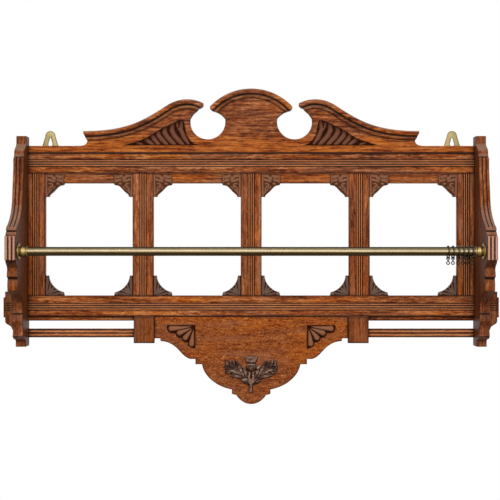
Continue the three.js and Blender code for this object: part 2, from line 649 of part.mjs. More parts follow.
function buildTube() {
  const half = INNER - SOCKET.endGap;
  const inner = TUBE.radius - TUBE.wall;
  const profile = [[inner, -half], [TUBE.radius, -half], [TUBE.radius, half], [inner, half], [inner, -half]];
  const tube = turned(profile, 24).rotateZ(-Math.PI / 2).translate(0, -TUBE.out, BRASS_Z);
  add('brass_rail', tube, brass());
}

// Screws are turned about their axis with the head's flat face at zero
function screwShape(screw, gap) {
  const head = screw.head + gap;
  const shank = screw.shank + gap;
  const neck = screw.head - screw.shank;
  const tip = -screw.length - gap;
  return turned([[0, tip], [shank, tip], [shank, -neck], [head, gap], [0, gap]], screw.sides);
}

// Above and below the rail's centre line
function flangeScrewPlaces() {
  return [1, -1].map((up) => up * FLANGE_SCREW.at);
}

function flangeScrew(side, up, gap) {
  const face = INNER - FLANGE.plate;
  const turn = side > 0 ? Math.PI / 2 : -Math.PI / 2;
  return screwShape(FLANGE_SCREW, gap).rotateZ(turn).translate(side * face, -TUBE.out, BRASS_Z + up);
}

function buildFlange(side) {
  const bore = TUBE.radius + SOCKET.fit;
  const end = FLANGE.length;
  const profile = [
    [bore, 0], [FLANGE.radius, 0], [FLANGE.radius, FLANGE.plate - 1], [FLANGE.radius - 1, FLANGE.plate],
    [FLANGE.boss - 1.5, FLANGE.plate], [FLANGE.boss - 1.5, FLANGE.plate + 1.5],
    [FLANGE.boss - 0.4, FLANGE.plate + 3], [FLANGE.boss, end / 2 - 0.5], [FLANGE.boss - 0.6, end / 2 + 2],
    [FLANGE.boss - 1.2, end / 2 + 4], [FLANGE.boss - 1.4, end - 4], [FLANGE.boss - 0.6, end - 2.6],
    [FLANGE.boss - 0.7, end - 0.9], [FLANGE.boss - 1.4, end], [bore, end], [bore, 0],
  ];
  const turn = side > 0 ? Math.PI / 2 : -Math.PI / 2;
  const flange = turned(profile, 24).rotateZ(turn).translate(side * INNER, -TUBE.out, BRASS_Z);
  const holes = flangeScrewPlaces().map((place) => flangeScrew(side, place, FLANGE_SCREW.fit));
  const name = side > 0 ? 'right' : 'left';
  add(`rail_flange_${name}`, cut(flange, holes), brass());
  flangeScrewPlaces().forEach((place, index) => {
    add(`flange_screw_${name}_${index + 1}`, flangeScrew(side, place, 0), brass());
  });
}

// Rings hang on the rail, and each carries a wire eyelet that hangs on the ring
const RING_DROP = RING.radius - RING.wire - TUBE.radius - RING.hang;

function wireLoop(radius, wire, around, section) {
  return new THREE.TorusGeometry(radius, wire, section, around);
}

function eyeletShape() {
  const low = -(EYELET.upper + EYELET.lower + EYELET.neck);
  const upper = wireLoop(EYELET.upper, EYELET.wire, 14, 6);
  const lower = wireLoop(EYELET.lower, EYELET.wire, 14, 6).translate(0, low, 0);
  const neck = new THREE.CylinderGeometry(EYELET.wire * 1.3, EYELET.wire * 1.3, EYELET.neck + 1, 8);
  neck.translate(0, -EYELET.upper - EYELET.neck / 2, 0);
  return join(upper, lower, neck);
}

function buildRing(index) {
  const place = new THREE.Group();
  place.position.set(INNER - RING_INSET[index], -TUBE.out, BRASS_Z - RING_DROP);
  place.rotation.z = THREE.MathUtils.degToRad(RING_YAW[index]);
  const ring = new THREE.Mesh(wireLoop(RING.radius, RING.wire, 28, 8).rotateY(Math.PI / 2), brass());
  ring.name = `ring_${index + 1}`;
  const drop = RING.radius + EYELET.upper - EYELET.wire - RING.wire - EYELET.hang;
  const eyelet = new THREE.Mesh(eyeletShape().rotateX(Math.PI / 2).translate(0, 0, -drop), brass());
  eyelet.name = `ring_eyelet_${index + 1}`;
  place.add(ring, eyelet);
  rack.add(place);
}

// Hanging plates, let into the back of the crest strip and the top rail
function plateOutline(grow) {
  const half = PLATE.half + grow;
  const top = CREST_BASE + PLATE.above + grow;
  const low = CREST_BASE - PLATE.below - grow;
  const path = new THREE.Path();
  path.moveTo(half, low);
  path.lineTo(half, CREST_BASE);
  path.lineTo(PLATE.top + grow, top - PLATE.top);
  path.absarc(0, top - PLATE.top - grow, PLATE.top + grow, 0, Math.PI, false);
  path.lineTo(-half, CREST_BASE);
  path.lineTo(-half, low);
  return path.getPoints(8);
}

function keyhole() {
  const low = CREST_BASE + KEYHOLE.low;
  const high = CREST_BASE + KEYHOLE.high;
  const hole = new THREE.Path();
  hole.absarc(0, low, KEYHOLE.wide, Math.PI - 0.2, 2 * Math.PI + 0.2, false);
  hole.absarc(0, high, KEYHOLE.narrow, 0.2, Math.PI - 0.2, false);
  return hole;
}

function platePocket(side) {
  const outline = plateOutline(POCKET_GAP).map((p) => [p.x, p.y]);
  return frontBoard(outline, -1, PLATE.thickness).translate(side * PLATE_X, 0, 0);
}

function plateScrewPlaces(side) {
  const z = CREST_BASE - PLATE.below + 12;
  return [-1, 1].map((hand) => [side * PLATE_X + hand * 9, z]);
}

// The heads face the wall
function hangerScrew([x, z], gap) {
  return screwShape(SCREW, gap).translate(x, 0, z);
}

function buildHanger(side) {
  const shape = new THREE.Shape(plateOutline(0));
  shape.holes.push(keyhole());
  const plate = frontBoard(shape, 0, PLATE.thickness, 6).translate(side * PLATE_X, 0, 0);
  const name = side > 0 ? 'right' : 'left';
  const places = plateScrewPlaces(side);
  add(`hanging_plate_${name}`, cut(plate, places.map((place) => hangerScrew(place, SCREW.fit))), brass());
  places.forEach((place, index) => {
    add(`hanger_screw_${name}_${index + 1}`, hangerScrew(place, 0), brass());
  });
}

buildCrest();
buildRails();
buildStiles();
buildHeaders();
buildCorners();
buildApron();
buildThistle();
buildTube();
[-1, 1].forEach((side) => {
  buildSide(side);
  buildEar(side);
  buildBlock(side);
  buildSlat(side);
  buildFlange(side);
  buildHanger(side);
});
RING_INSET.forEach((_, index) => buildRing(index));

export default rack;
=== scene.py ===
import math

import bmesh
import bpy
import numpy as np
from mathutils import Matrix, Vector


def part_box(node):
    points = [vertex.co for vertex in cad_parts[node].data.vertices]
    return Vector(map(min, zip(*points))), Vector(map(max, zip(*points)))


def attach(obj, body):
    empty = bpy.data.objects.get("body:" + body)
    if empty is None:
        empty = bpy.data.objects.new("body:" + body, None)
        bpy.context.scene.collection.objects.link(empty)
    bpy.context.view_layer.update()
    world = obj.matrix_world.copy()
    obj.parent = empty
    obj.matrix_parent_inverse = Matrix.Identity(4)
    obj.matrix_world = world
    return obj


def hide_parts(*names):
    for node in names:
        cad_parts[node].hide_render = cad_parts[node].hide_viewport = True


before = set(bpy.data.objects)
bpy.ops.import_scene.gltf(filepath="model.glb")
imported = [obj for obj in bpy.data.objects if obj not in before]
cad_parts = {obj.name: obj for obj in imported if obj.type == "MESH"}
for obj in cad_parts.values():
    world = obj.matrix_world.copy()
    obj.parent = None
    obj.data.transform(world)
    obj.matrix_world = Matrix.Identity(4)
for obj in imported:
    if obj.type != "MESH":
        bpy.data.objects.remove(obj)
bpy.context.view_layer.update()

MM = 0.001
FACE = 16.0  # how far out the frame's front face stands
POCKET = 2.6  # depth of the pockets that the sunk carvings fill
DEPTH = 2.1  # of a sunk ground below the face, and of the tallest leaves over it
SINK = 0.3  # how deep the thistle's rim lies in the apron
CARVING_STEP = 0.9  # between two points of a carving's edge
REED_DEPTH = 1.5
NO_REEDS = (9.0, 1.0, 1.0)  # too far off to show
SHARP = 32  # angle in degrees over which a board's edge is drawn sharp
EASED = 38  # angle in degrees over which a board's edge is eased
GRAIN_STEP = np.array([0.731, 0.417, 0.593])  # metres between the grains of two pieces
SIDES = (("left", -1), ("right", 1))
scene = bpy.context.scene


# Shaders
def srgb(red, green, blue):
    """A colour in 0 to 255, as the shader's linear colour."""
    parts = [c / 255 for c in (red, green, blue)]
    linear = [p / 12.92 if p <= 0.04045 else ((p + 0.055) / 1.055) ** 2.4 for p in parts]
    return (*linear, 1.0)


class Graph:
    """The nodes of a material or of the world, made one after another."""

    def __init__(self, owner):
        owner.use_nodes = True
        self.owner = owner
        self.tree = owner.node_tree
        self.tree.nodes.clear()

    def node(self, kind, inputs=(), **settings):
        made = self.tree.nodes.new("ShaderNode" + kind)
        for key, value in settings.items():
            setattr(made, key, value)
        for key, value in dict(inputs).items():
            if isinstance(value, bpy.types.NodeSocket):
                self.tree.links.new(value, made.inputs[key])
            else:
                made.inputs[key].default_value = value
        return made

    def math(self, operation, a, b=0.0, clamp=False):
        return self.node("Math", {0: a, 1: b}, operation=operation, use_clamp=clamp).outputs[0]

    def plus(self, a, b, clamp=False):
        return self.math("ADD", a, b, clamp)

    def minus(self, a, b):
        return self.math("SUBTRACT", a, b)

    def times(self, a, b):
        return self.math("MULTIPLY", a, b)

    def vectors(self, operation, a, b):
        return self.node("VectorMath", {0: a, 1: b}, operation=operation).outputs

    def axes(self, vector):
        return self.node("SeparateXYZ", {0: vector}).outputs

    def span(self, value, low, high, at_low, at_high):
        """What goes evenly from at_low to at_high while the value goes from low to high."""
        ends = {1: low, 2: high, 3: at_low, 4: at_high}
        return self.node("MapRange", {0: value, **ends}).outputs[0]

    def share(self, value):
        """A value from -1 to 1 as a share from 0 to 1."""
        return self.span(value, -1.0, 1.0, 0.0, 1.0)

    def mix(self, factor, a, b, blend="MIX"):
        made = self.node("Mix", {0: factor, 6: a, 7: b}, data_type="RGBA", blend_type=blend)
        return made.outputs[2]

    def ramp(self, factor, *stops):
        made = self.node("ValToRGB", {0: factor})
        elements = made.color_ramp.elements
        while len(elements) < len(stops):
            elements.new(0.5)
        for element, (place, colour) in zip(elements, stops):
            element.position = place
            element.color = colour if isinstance(colour, tuple) else (colour, colour, colour, 1)
        return made.outputs[0]

    def noise(self, vector, scales, detail=3.0, roughness=0.55, distortion=0.0):
        stretched = self.vectors("MULTIPLY", vector, scales)[0]
        inputs = {"Vector": stretched, "Scale": 1.0, "Detail": detail, "Roughness": roughness,
                  "Distortion": distortion}
        return self.node("TexNoise", inputs).outputs[0]

    def attribute(self, name, output="Fac"):
        made = self.node("Attribute", attribute_name=name, attribute_type="GEOMETRY")
        return made.outputs[output]

    def place(self):
        """Object coordinates, shifted piece by piece so that no two boards share a grain."""
        here = self.node("TexCoord").outputs["Object"]
        return self.vectors("ADD", here, self.attribute("grain_shift", "Vector"))[0]

    def rims(self, reach):
        """How near a point is to a sharp edge, from 0 to 1 within `reach` metres, and the share by
        which that edge faces up."""
        eased = self.node("Bevel", {"Radius": reach}, samples=8).outputs[0]
        flat = self.node("NewGeometry").outputs["Normal"]
        turned = self.vectors("DOT_PRODUCT", eased, flat)["Value"]
        return self.ramp(turned, (0.86, 1.0), (0.995, 0.0)), self.share(self.axes(eased)["Z"])

    def openness(self, distance, samples):
        """How open the space around a point is, up to a distance in metres."""
        made = self.node("AmbientOcclusion", {"Distance": distance}, samples=samples)
        return made.outputs["AO"]

    def backdrop(self):
        """1 on the rays that show the background, straight or in metal and glass."""
        rays = self.node("LightPath").outputs
        seen = self.math("MAXIMUM", rays["Is Camera Ray"], rays["Is Glossy Ray"])
        return self.math("MAXIMUM", seen, rays["Is Transmission Ray"])

    def finish(self, inputs, height, bump, distance=0.0004):
        normal = self.node("Bump", {"Height": height, "Strength": bump, "Distance": distance})
        shader = self.node("BsdfPrincipled", {**inputs, "Normal": normal.outputs[0]})
        self.node("OutputMaterial", {0: shader.outputs[0]})
        return self.owner


# Tones of the wood from its darkest streaks to its palest, where it is brown and where it is amber
BROWN = ((64, 22, 4), (104, 48, 19), (136, 70, 32), (160, 92, 50), (196, 128, 82))
AMBER = ((100, 36, 3), (140, 62, 9), (170, 84, 19), (188, 101, 30), (208, 128, 58))
TONE_STEP = 0.066  # of the figure's noise, between two of these at a contrast of 1
HAZE, PORE, GOLDEN = srgb(158, 100, 70), srgb(58, 20, 5), srgb(206, 118, 42)
# Painted shade in recesses and on inner faces, and a painted highlight on front edges
RECESS_SHADE, INNER_SHADE, FRONT_HIGHLIGHT = srgb(66, 32, 16), srgb(46, 16, 3), srgb(218, 158, 130)
# Painted highlight on the reeds' ridges, painted shade in their valleys
RIDGE_HIGHLIGHT, VALLEY_SHADE = srgb(212, 138, 88), srgb(34, 10, 2)
# Dirt and painted shade at rims, dark joints and painted shade at eased edges, and a dark joint
# with painted shadow at seams
RIM_DIRT_AND_SHADE, EDGE_JOINT_AND_SHADE, JOINT_AND_SHADOW = srgb(58, 26, 12), srgb(26, 9, 2), srgb(40, 13, 2)
# Grey dust and painted sheen on what faces up, and painted shade on what faces down
DUST_AND_SHEEN, UNDERSIDE_SHADE = srgb(156, 124, 106), srgb(40, 15, 5)
# Painted shade in nooks, and dark wax and painted shade in crevices
NOOK_SHADE, CREVICE_WAX_AND_SHADE = srgb(40, 12, 2), srgb(24, 7, 1)
FOREMOST = (-0.1585, -0.1635)  # y in metres over which a side board's front edge gets a painted highlight


def reeded(g, colour, spot, facing, axis):
    """The colour with a painted highlight on the reeds' ridges and painted shade in their valleys,
    and the share of ridge.
    """
    reeds = g.axes(g.attribute("reeds", "Vector"))
    reached = g.minus(spot["Z" if axis == "x" else "X"], reeds["X"])
    reached = g.math("DIVIDE", g.math("ABSOLUTE", reached), reeds["Y"])
    within = g.math("LESS_THAN", reached, g.plus(reeds["Z"], 0.14))
    within = g.times(within, g.math("LESS_THAN", facing["Y"], 0.0))
    turned = g.times(g.minus(reached, reeds["Z"]), 2 * math.pi)
    depth = g.share(g.math("COSINE", turned))
    ridge = g.times(g.ramp(depth, (0.05, 1.0), (0.4, 0.0)), within)
    colour = g.mix(g.times(ridge, 0.74), colour, RIDGE_HIGHLIGHT)
    valley = g.times(g.ramp(depth, (0.52, 0.0), (0.8, 1.0)), within)
    return g.mix(g.times(valley, 0.92), colour, VALLEY_SHADE), ridge


def oak(name, axis, contrast, warm=0.0, wave=0.0, glow=None, side=False, tops=1.0, seam=None,
        bloom=0.4, dust_and_sheen=0.6, reach=0.0075, sunk=None):
    """Waxed oak with its grain along x or z. Its sizes are in metres.

    `contrast` spreads the tones, `warm` leans them to amber, and `wave` is the share of curly
    figure. `bloom` is the share of dull patches, and `dust_and_sheen` that of grey dust and painted
    sheen on what faces up. Dirt and painted shade lie within `reach` of the edges, and `tops` is
    their share on edges that face up. `seam` is the height of a seam and the share of its dark
    joint and painted shadow. `glow` are the heights between which the wood warms downwards, and
    `sunk` the distances out between which painted shade darkens the faces that lie back towards the
    wall.
    A `side` board has painted shade on its inner face and a painted highlight at its foremost edge."""
    g = Graph(bpy.data.materials.new(name))
    place = g.place()
    here = g.node("TexCoord").outputs
    spot, facing = g.axes(here["Object"]), g.axes(here["Normal"])

    def along(length, width):
        a, c = 1 / (length * MM), 1 / (width * MM)
        return (a, c, c) if axis == "x" else (c, c, a)

    def tones(colours):
        return g.ramp(value, *[
            (0.5 + (k - 2) * TONE_STEP / contrast, srgb(*c)) for k, c in enumerate(colours)])

    # The wood's own figure
    blotch = g.noise(place, along(170, 48), detail=2.0)
    streak = g.noise(place, along(58, 4.6), detail=4.0, roughness=0.6, distortion=0.5)
    fleck = g.noise(place, along(12, 3.2), detail=3.0, roughness=0.62)
    ring = g.noise(place, along(280, 13), detail=1.0, distortion=0.7)
    pore = g.noise(place, along(10, 1.5), detail=2.0)
    curl = g.noise(place, (110.0, 210.0, 270.0), detail=4.0, roughness=0.6, distortion=1.8)
    haze = g.noise(place, along(110, 17), detail=3.0)
    value = g.times(streak, 0.46)
    value = g.plus(value, g.times(fleck, 0.3))
    value = g.plus(value, g.times(ring, 0.24))
    value = g.plus(g.times(value, 1 - wave), g.times(curl, wave))
    warmth = g.plus(g.ramp(blotch, (0.42, 0.0), (0.66, 0.8)), warm, clamp=True)
    if glow:
        low = g.span(spot["Z"], glow[1], glow[0], 0.0, 1.0)
        warmth = g.plus(g.times(warmth, 0.5), g.times(low, 0.9), clamp=True)
    colour = g.mix(warmth, tones(BROWN), tones(AMBER))
    colour = g.mix(g.times(g.ramp(haze, (0.5, 0.0), (0.66, 1.0)), bloom), colour, HAZE)
    open_pore = g.ramp(pore, (0.34, 1.0), (0.43, 0.0))
    colour = g.mix(g.times(open_pore, 0.5), colour, PORE)
    if glow:
        gold = g.times(low, g.ramp(streak, (0.44, 0.0), (0.62, 0.42)))
        colour = g.mix(gold, colour, GOLDEN)
    tone = g.attribute("tone")
    grey = g.node("CombineColor", {0: tone, 1: tone, 2: tone}).outputs[0]
    colour = g.mix(1.0, colour, grey, "MULTIPLY")

    # Wear and dirt, with painted shade, shadow, highlights and sheen
    # Painted shade on the faces that lie back towards the wall, in the moulding's recesses
    if sunk:
        colour = g.mix(g.span(spot["Y"], -sunk[0], -sunk[1], 0.0, 0.45), colour, RECESS_SHADE)
    if side:
        # Painted shade on a side board's inner face
        outward = g.times(facing["X"], g.math("SIGN", spot["X"]))
        inner = g.ramp(g.times(outward, -1.0), (0.7, 0.0), (0.95, 0.62))
        colour = g.mix(inner, colour, INNER_SHADE)
        # Painted highlight on the foremost front edge of a side board
        foremost = g.span(spot["Y"], *FOREMOST, 0.0, 0.85)
        front = g.ramp(g.times(facing["Y"], -1.0), (0.4, 0.0), (0.9, 1.0))
        colour = g.mix(g.times(foremost, front), colour, FRONT_HIGHLIGHT)
    # Painted highlight on the reeds' ridges, painted shade in their valleys
    colour, ridge = reeded(g, colour, spot, facing, axis)
    # Dirt and painted shade along the edges, less where an edge faces up
    rim, up = g.rims(reach)
    spared = g.ramp(up, (0.5, 1.0), (0.56, tops))
    colour = g.mix(g.times(g.times(rim, 0.8), spared), colour, RIM_DIRT_AND_SHADE)
    # Dark joints and painted shade on the eased edges, less where they face up
    edge = g.times(g.attribute("edge"), spared)
    colour = g.mix(g.times(edge, 0.9), colour, EDGE_JOINT_AND_SHADE)
    # Grey dust and painted sheen on what faces up
    lean = g.share(facing["Z"])
    colour = g.mix(g.ramp(lean, (0.62, 0.0), (0.88, dust_and_sheen)), colour, DUST_AND_SHEEN)
    # Painted shade on what faces down
    colour = g.mix(g.ramp(lean, (0.1, 0.62), (0.38, 0.0)), colour, UNDERSIDE_SHADE)
    # A dark joint at the seam, with a painted shadow beside it
    if seam:
        away = g.math("ABSOLUTE", g.minus(spot["Z"], seam[0]))
        colour = g.mix(g.span(away, 0.0013, 0.003, seam[1], 0.0), colour, JOINT_AND_SHADOW)
    # Painted shade in broad nooks, such as beside the side boards
    nook = g.openness(0.036, 8)
    colour = g.mix(g.ramp(nook, (0.44, 0.5), (0.74, 0.0)), colour, NOOK_SHADE)
    # Dark wax and painted shade in crevices and joints
    shade = g.plus(g.openness(0.008, 8), g.times(ridge, 0.3), clamp=True)
    colour = g.mix(g.ramp(shade, (0.42, 0.0), (0.93, 1.0)), CREVICE_WAX_AND_SHADE, colour)

    rough = g.plus(g.times(open_pore, 0.2), g.times(streak, 0.3))
    height = g.minus(g.times(streak, 0.6), g.times(open_pore, 0.8))
    return g.finish({
        "Base Color": colour, "Roughness": g.plus(rough, 0.3),
        "Specular IOR Level": g.times(value, 0.18),
    }, height, 0.35)


def carved(name, tones, reach, levels=(0.04, 0.38, 1.0), speckle=0.8, rim=0.002):
    """Carved oak: dark wax and painted shade lie in hollows as broad as `reach` and within `rim` of
    the edges, both in metres, and the ridges are worn lighter and get a painted highlight. `tones`
    are the low, middle and high one, and `levels` the shares of the relief's height at which they
    lie, so that low relief gets painted shade. Slopes that face up get a painted highlight, and
    those that face down painted shade."""
    g = Graph(bpy.data.materials.new(name))
    low, middle, high = (srgb(*tone) for tone in tones)
    place = g.place()
    relief = g.attribute("relief")
    grain = g.noise(place, (150.0, 320.0, 320.0), detail=4.0, roughness=0.65)
    chisel = g.noise(place, (520.0, 520.0, 520.0), detail=2.0)
    level = g.plus(relief, g.times(g.minus(grain, 0.5), speckle))
    # Painted shade low in the relief and a painted highlight on its tops, with dark wax and wear
    colour = g.ramp(level, *zip(levels, (low, middle, high)))
    colour = g.mix(g.times(g.ramp(chisel, (0.4, 1.0), (0.6, 0.0)), 0.3), colour, low)
    # Painted highlight on slopes that face up, painted shade on those that face down
    lean = g.share(g.axes(g.node("TexCoord").outputs["Normal"])["Z"])
    colour = g.mix(g.ramp(lean, (0.56, 0.0), (0.85, 0.5)), colour, high)
    colour = g.mix(g.ramp(lean, (0.15, 0.7), (0.44, 0.0)), colour, low)
    # Dark wax and painted shade along the carving's edges
    edge_wax_and_shade, _ = g.rims(rim)
    colour = g.mix(g.times(edge_wax_and_shade, 0.7), colour, low)
    # Dark wax and painted shade in the hollows
    colour = g.mix(g.ramp(g.openness(reach, 6), (0.3, 0.0), (0.9, 1.0)), low, colour)
    height = g.plus(g.times(grain, 0.6), g.times(chisel, 0.5))
    return g.finish({
        "Base Color": colour, "Roughness": g.plus(g.times(grain, 0.35), 0.32),
        "Specular IOR Level": g.times(relief, 0.2),
    }, height, 0.5)


def brass(name, tones, grime, scales, rough, reach=0.0012):
    """Aged brass. `tones` are its colours from the side that faces down to the side that faces up:
    painted reflections and painted shade, with some tarnish on the underside. `scales` stretches
    the polishing marks. Grime lies within `reach` metres of an edge."""
    g = Graph(bpy.data.materials.new(name))
    grime = srgb(*grime)
    place = g.place()
    patch = g.noise(place, (26.0, 160.0, 160.0), detail=4.0, roughness=0.65)
    marks = g.noise(place, scales, detail=3.0)
    specks = g.noise(place, (700.0, 700.0, 700.0), detail=2.0)
    # Painted reflections and painted shade: the colour follows which way each side faces
    lean = g.share(g.axes(g.node("TexCoord").outputs["Normal"])["Z"])
    lean = g.plus(lean, g.times(g.minus(patch, 0.5), 0.06))
    colour = g.ramp(lean, *[(at, srgb(*tone)) for at, *tone in tones])
    colour = g.mix(g.times(g.ramp(specks, (0.3, 1.0), (0.42, 0.0)), 0.35), colour, grime)
    rim, _ = g.rims(reach)
    colour = g.mix(g.times(rim, 0.7), colour, grime)
    colour = g.mix(g.ramp(g.openness(0.004, 6), (0.2, 0.0), (0.75, 1.0)), grime, colour)
    mottle = g.plus(g.times(patch, 0.2), g.times(marks, 0.2))
    return g.finish({
        "Base Color": colour, "Metallic": 1.0, "Roughness": g.plus(mottle, rough),
    }, marks, 0.12, 0.0002)


CREST_SEAM, APRON_SEAM = 0.0142, -0.3446  # heights in metres of the joins with the rails
OAK = {
    "x": oak("oak_grain_across", "x", contrast=1.7, warm=0.05),
    "header": oak("oak_header", "x", contrast=1.25, bloom=0.55),
    "moulding": oak("oak_moulding", "x", contrast=1.7, warm=0.05, reach=0.0026,
                    sunk=(0.0207, 0.0199)),
    "top": oak("oak_top_rail", "x", contrast=1.8, seam=(CREST_SEAM, 0.95)),
    "low": oak("oak_bottom_rail", "x", contrast=1.7, warm=0.18, seam=(APRON_SEAM, 0.45)),
    "z": oak("oak_grain_upright", "z", contrast=1.1, warm=-0.1, bloom=0.7),
    "crest": oak("oak_crest", "x", contrast=1.5, glow=(0.036, 0.06), tops=0.0,
                 seam=(CREST_SEAM, 0.95), bloom=0.15),
    "apron": oak("oak_apron", "x", contrast=1.15, warm=0.25, wave=0.62, seam=(APRON_SEAM, 0.95)),
    "block": oak("oak_block", "z", contrast=0.8, warm=-0.3, dust_and_sheen=0.1),
    "side": oak("oak_side", "z", contrast=0.9, warm=-0.3, side=True, tops=0.2, reach=0.0042),
}
FOLIAGE = carved("carved_foliage", [(60, 37, 27), (104, 73, 58), (138, 106, 90)], 0.003, rim=0.005)
TOPS = carved("carved_tops", [(86, 49, 31), (130, 82, 54), (152, 101, 71)], 0.0015,
              speckle=0.9, rim=0.005)
THISTLE = carved("carved_thistle", [(30, 13, 7), (88, 55, 40), (192, 152, 130)], 0.006,
                 (0.3, 0.58, 0.88), speckle=1.2, rim=0.001)
FAN = carved("carved_fan", [(48, 23, 13), (94, 49, 29), (118, 68, 43)], 0.003, speckle=0.65)
PETAL = carved("carved_petals", [(44, 19, 8), (128, 75, 47), (162, 104, 70)], 0.004)
# Brass tones from the side that faces down to the side that faces up: painted reflections and
# painted shade, with some tarnish below
TUBE = brass("brass_tube", [
    (0.05, 50, 36, 16), (0.16, 60, 48, 26), (0.27, 58, 42, 16), (0.38, 80, 62, 32),
    (0.49, 163, 147, 115), (0.6, 138, 124, 99), (0.71, 110, 98, 75), (0.82, 86, 76, 56),
    (0.94, 64, 57, 43),
], (40, 30, 12), (30, 900, 900), 0.16)
GOLD = brass("brass_turned", [
    (0.05, 56, 42, 16), (0.25, 108, 86, 38), (0.45, 168, 140, 88), (0.6, 152, 130, 84),
    (0.9, 96, 80, 44),
], (48, 38, 16), (900, 60, 60), 0.16)
WIRE = brass("brass_wire", [
    (0.1, 30, 22, 12), (0.4, 58, 48, 34), (0.6, 92, 82, 64), (0.9, 66, 58, 44),
], (30, 22, 12), (500, 500, 500), 0.2)
HOOK = brass("brass_hook", [
    (0.1, 20, 17, 9), (0.4, 36, 31, 20), (0.6, 56, 49, 36), (0.9, 44, 38, 28),
], (20, 15, 8), (500, 500, 500), 0.24)
PLATE = brass("brass_plate", [
    (0.2, 70, 58, 32), (0.5, 134, 119, 82), (0.9, 98, 86, 56),
], (34, 27, 13), (60, 800, 800), 0.2, 0.005)


# Meshes and pieces
count = 0  # of the pieces made


def settle(mesh, tone=1.0, relief=None, reeds=NO_REEDS):
    """Gives a mesh the values that its material reads. `reeds` are the place of their middle and
    their pitch in metres, and half their number."""
    global count
    count += 1
    size = len(mesh.vertices)

    def give(name, kind, field, values):
        mesh.attributes.new(name, kind, "POINT").data.foreach_set(field, values)

    give("grain_shift", "FLOAT_VECTOR", "vector", np.tile(GRAIN_STEP * count, size))
    give("tone", "FLOAT", "value", np.full(size, tone))
    give("reeds", "FLOAT_VECTOR", "vector", np.tile(reeds, size))
    if relief is not None:
        give("relief", "FLOAT", "value", relief)


def piece(name, mesh, material, body, slot, *replaced):
    made = bpy.data.objects.new(name, mesh)
    scene.collection.objects.link(made)
    mesh.materials.clear()
    mesh.materials.append(material)
    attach(made, body)
    if replaced:
        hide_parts(*replaced)
    return made


def to_mesh(bm, name, sharp):
    mesh = bpy.data.meshes.new(name)
    bm.normal_update()
    bm.to_mesh(mesh)
    bm.free()
    mesh.shade_smooth()
    mesh.set_sharp_from_angle(angle=math.radians(sharp))
    return mesh


def softened(node, bevel, segments=2):
    """A copy of a CAD node's mesh with its sharp outer edges eased. The eased faces are marked, and
    edges between narrow strips stay as they are."""
    bm = bmesh.new()
    bm.from_mesh(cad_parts[node].data)
    bmesh.ops.remove_doubles(bm, verts=bm.verts, dist=2e-6)
    bmesh.ops.dissolve_limit(bm, angle_limit=math.radians(0.4), verts=bm.verts, edges=bm.edges)
    marks = bm.faces.layers.float.new("edge")

    def breadth(face):
        return face.calc_area() / max(e.calc_length() for e in face.edges)

    edges = [
        e for e in bm.edges
        if len(e.link_faces) == 2 and e.is_convex and e.calc_face_angle() > math.radians(EASED)
        and min(breadth(f) for f in e.link_faces) > 2.4 * bevel * MM
    ]
    eased = bmesh.ops.bevel(bm, geom=edges, offset=bevel * MM, offset_type="OFFSET",
                            segments=segments, profile=0.55, affect="EDGES", clamp_overlap=True)
    for face in eased["faces"]:
        face[marks] = 1.0
    return bm


def prism(outline, back, front):
    """A closed block of a front-view outline, from `back` out to `front`."""
    bm = bmesh.new()
    rings = [
        [bm.verts.new((x * MM, -out * MM, z * MM)) for x, z in outline] for out in (back, front)]
    bm.faces.new(rings[0])
    bm.faces.new(rings[1][::-1])
    for i in range(len(outline)):
        j = (i + 1) % len(outline)
        bm.faces.new((rings[0][j], rings[0][i], rings[1][i], rings[1][j]))
    bmesh.ops.recalc_face_normals(bm, faces=bm.faces)
    mesh = bpy.data.meshes.new("cutter")
    bm.to_mesh(mesh)
    bm.free()
    return mesh


def cut(mesh, cutters, operation="DIFFERENCE"):
    """The mesh less each cutter, or joined with it where the operation is UNION."""
    holder = bpy.data.objects.new("holder", mesh)
    scene.collection.objects.link(holder)
    tools = []
    for cutter in cutters:
        tool = bpy.data.objects.new("tool", cutter)
        scene.collection.objects.link(tool)
        tools.append(tool)
        modifier = holder.modifiers.new("cut", "BOOLEAN")
        modifier.object = tool
        modifier.operation = operation
        modifier.solver = "EXACT"
    graph = bpy.context.evaluated_depsgraph_get()
    result = bpy.data.meshes.new_from_object(holder.evaluated_get(graph))
    for o in [holder, *tools]:
        bpy.data.objects.remove(o)
    result.shade_smooth()
    result.set_sharp_from_angle(angle=math.radians(SHARP))
    return result


def reeding(node, number, axis):
    """The reeds in a CAD node's front, found from the floors between them."""
    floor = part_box(node)[0].y + REED_DEPTH * MM
    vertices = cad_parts[node].data.vertices
    found = [v.co[axis] for v in vertices if abs(v.co.y - floor) < 0.01 * MM]
    low, high = min(found), max(found)
    return (low + high) / 2, (high - low) / number, number / 2


def board(node, material, bevel, tone, pockets=(), reeds=NO_REEDS):
    """A wooden CAD node with eased edges, and a pocket for each outline."""
    mesh = to_mesh(softened(node, bevel), "oak_" + node, SHARP)
    if pockets:
        mesh = cut(mesh, [prism(outline, FACE - POCKET, FACE + 2) for outline in pockets])
    settle(mesh, tone, reeds=reeds)
    made = piece("oak_" + node, mesh, material, "rack", "oak_frame", node)
    made.modifiers.new("flat faces", "WEIGHTED_NORMAL").keep_sharp = True


def mirrored(outline):
    """An outline on the right, and the same on the left."""
    return [[(hand * x, z) for x, z in outline] for hand in (1, -1)]


